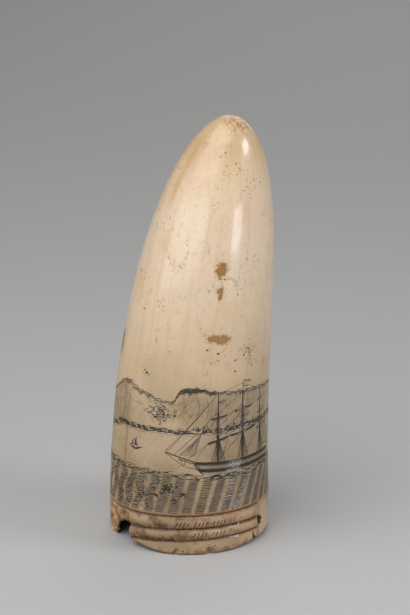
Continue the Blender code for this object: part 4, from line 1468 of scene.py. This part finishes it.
def broken_dentine():
    """Dentine where the tooth is broken, sawn or hollow. It is dry and matt, tan with brown cracks
    at its edges, and painted nearly black as shade in the cavity and at the bite."""
    material, tree, shader = new_material("dentine, broken and sawn")
    solid = add_node(tree, "ShaderNodeTexCoord").outputs["Object"]
    cavity = add_node(tree, "ShaderNodeAttribute", {"attribute_name": "cavity"}).outputs["Fac"]
    lumps = add_node(tree, "ShaderNodeTexNoise", None,
                     {"Scale": per_size(3.2), "Detail": 4.0}, {"Vector": solid}).outputs["Fac"]
    ramp = add_node(tree, "ShaderNodeValToRGB", None, None, {"Fac": lumps})
    set_stops(ramp, ((0.30, "#6f4f32"), (0.44, "#a37d54"), (0.56, "#c3a17a"), (0.72, "#e2caaa")))
    cells = add_node(tree, "ShaderNodeTexVoronoi", {"feature": "DISTANCE_TO_EDGE"},
                     {"Scale": per_size(2.0)}, {"Vector": solid}).outputs["Distance"]
    cracks = add_node(tree, "ShaderNodeMapRange", None,
                      {"From Min": 0.0, "From Max": 0.06, "To Min": 0.4, "To Max": 0.0},
                      {"Value": cells}).outputs["Result"]
    cracked = add_node(tree, "ShaderNodeMix", {"data_type": "RGBA"}, {7: hex_colour("#3a2814")},
                       {0: cracks, 6: ramp.outputs["Color"]}).outputs[2]
    # painted shade: near black where the cavity paint marks the place as lying in shade
    dark = add_node(tree, "ShaderNodeMapRange", {"interpolation_type": "SMOOTHSTEP"},
                    {"From Min": 0.0, "From Max": 0.85}, {"Value": cavity}).outputs["Result"]
    cavity_shaded = add_node(tree, "ShaderNodeMix", {"data_type": "RGBA"}, {7: hex_colour("#1a120a")},
                       {0: dark, 6: cracked}).outputs[2]
    tree.links.new(cavity_shaded, shader.inputs["Base Color"])
    bump = add_node(tree, "ShaderNodeBump", None, {"Strength": 0.7, "Distance": 0.2 * MM},
                    {"Height": lumps})
    tree.links.new(bump.outputs["Normal"], shader.inputs["Normal"])
    shader.inputs["Roughness"].default_value = 0.82
    return material


FLOOR_SIZE = 6.0
FLOOR_GAP = 0.2 * MM


def make_floor():
    """A sheet of pale paper, a hair under the rim so that the two don't lie in one plane."""
    deselect_all()
    bpy.ops.mesh.primitive_plane_add(size=FLOOR_SIZE, location=(0.0, 0.0, cad_low[2] - FLOOR_GAP))
    floor = bpy.context.active_object
    floor.name = "floor"
    material, _, shader = new_material("pale matt paper")
    shader.inputs["Base Color"].default_value = hex_colour("#c4c3c1")
    shader.inputs["Roughness"].default_value = 0.9
    floor.data.materials.append(material)


def aim(thing, place, target):
    """Puts a lamp or a camera at a place, looking at a target."""
    thing.location = place
    direction = Vector(target) - Vector(place)
    thing.rotation_euler = direction.to_track_quat("-Z", "Y").to_euler()


def add_light(name, azimuth, elevation, distance, wide, tall, watts, height, colour):
    """A softbox or window that looks at the tooth's axis at a height in mm. Its azimuth and
    elevation are in degrees, its distance and size in metres."""
    lamp = bpy.data.lights.new(name, "AREA")
    lamp.shape = "RECTANGLE"
    lamp.size = wide
    lamp.size_y = tall
    lamp.energy = watts
    lamp.color = hex_colour(colour)[:3]
    thing = bpy.data.objects.new(name, lamp)
    bpy.context.scene.collection.objects.link(thing)
    a, e = math.radians(azimuth), math.radians(elevation)
    middle = height * MM
    place = (distance * math.sin(a) * math.cos(e), -distance * math.cos(a) * math.cos(e),
             middle + distance * math.sin(e))
    aim(thing, place, (0.0, 0.0, middle))


# name, azimuth, elevation, distance, width, height, watts, the height it looks at, colour
LIGHTS = (
    ("overhead softbox", -40.0, 55.0, 0.5, 0.6, 0.6, 2.35, 150.0, "#ffffff"),
    ("low wide softbox", -46.0, 8.0, 0.9, 1.1, 0.34, 2.2, 110.0, "#ffffff"),
    ("rear fill", 165.0, 30.0, 1.1, 0.9, 0.9, 1.8, 80.0, "#ffffff"),
    ("high window", 72.0, 28.0, 0.6, 0.24, 0.15, 1.2, 151.0, "#f6f8ff"),
    ("low window", 42.0, -2.0, 0.6, 0.17, 0.10, 0.38, 123.0, "#f6f8ff"),
)


WORLD_COLOUR, WORLD_STRENGTH = "#d8d9dc", 0.26


def make_lights():
    """A near softbox, so that the light falls off to the foot, a low wide one, a fill from behind,
    two small windows for glints, and an even grey world."""
    for light in LIGHTS:
        add_light(*light)
    world = bpy.data.worlds.new("studio")
    bpy.context.scene.world = world
    world.use_nodes = True
    background = world.node_tree.nodes["Background"]
    background.inputs["Color"].default_value = hex_colour(WORLD_COLOUR)
    background.inputs["Strength"].default_value = WORLD_STRENGTH
    bpy.context.scene.view_settings.view_transform = "Standard"


CAMERA_DISTANCE = 850.0 * MM
CAMERA_HEIGHT = 387.4 * MM
AIM_RIGHT, AIM_HEIGHT = 6.0 * MM, 87.1 * MM
RIM_MIDDLE = (-0.55 * MM, 0.16 * MM)
LENS = 143.4
SENSOR = 36.0


def make_camera():
    """A long lens from a little above, as in the photograph."""
    camera_data = bpy.data.cameras.new("camera")
    camera_data.lens = LENS
    camera_data.sensor_width = SENSOR
    camera = bpy.data.objects.new("camera", camera_data)
    bpy.context.scene.collection.objects.link(camera)
    middle_x, middle_y = RIM_MIDDLE
    aim(camera, (middle_x, middle_y - CAMERA_DISTANCE, CAMERA_HEIGHT),
        (middle_x + AIM_RIGHT, middle_y, AIM_HEIGHT))
    bpy.context.scene.camera = camera


def main():
    engrave_all()
    tooth = make_piece("tooth", build_tooth())
    tooth.data.materials.append(aged_ivory())
    tooth.data.materials.append(broken_dentine())
    weld_and_smooth(tooth)
    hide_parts("whale_tooth")
    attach(tooth, "root")
    make_floor()
    make_lights()
    make_camera()


main()
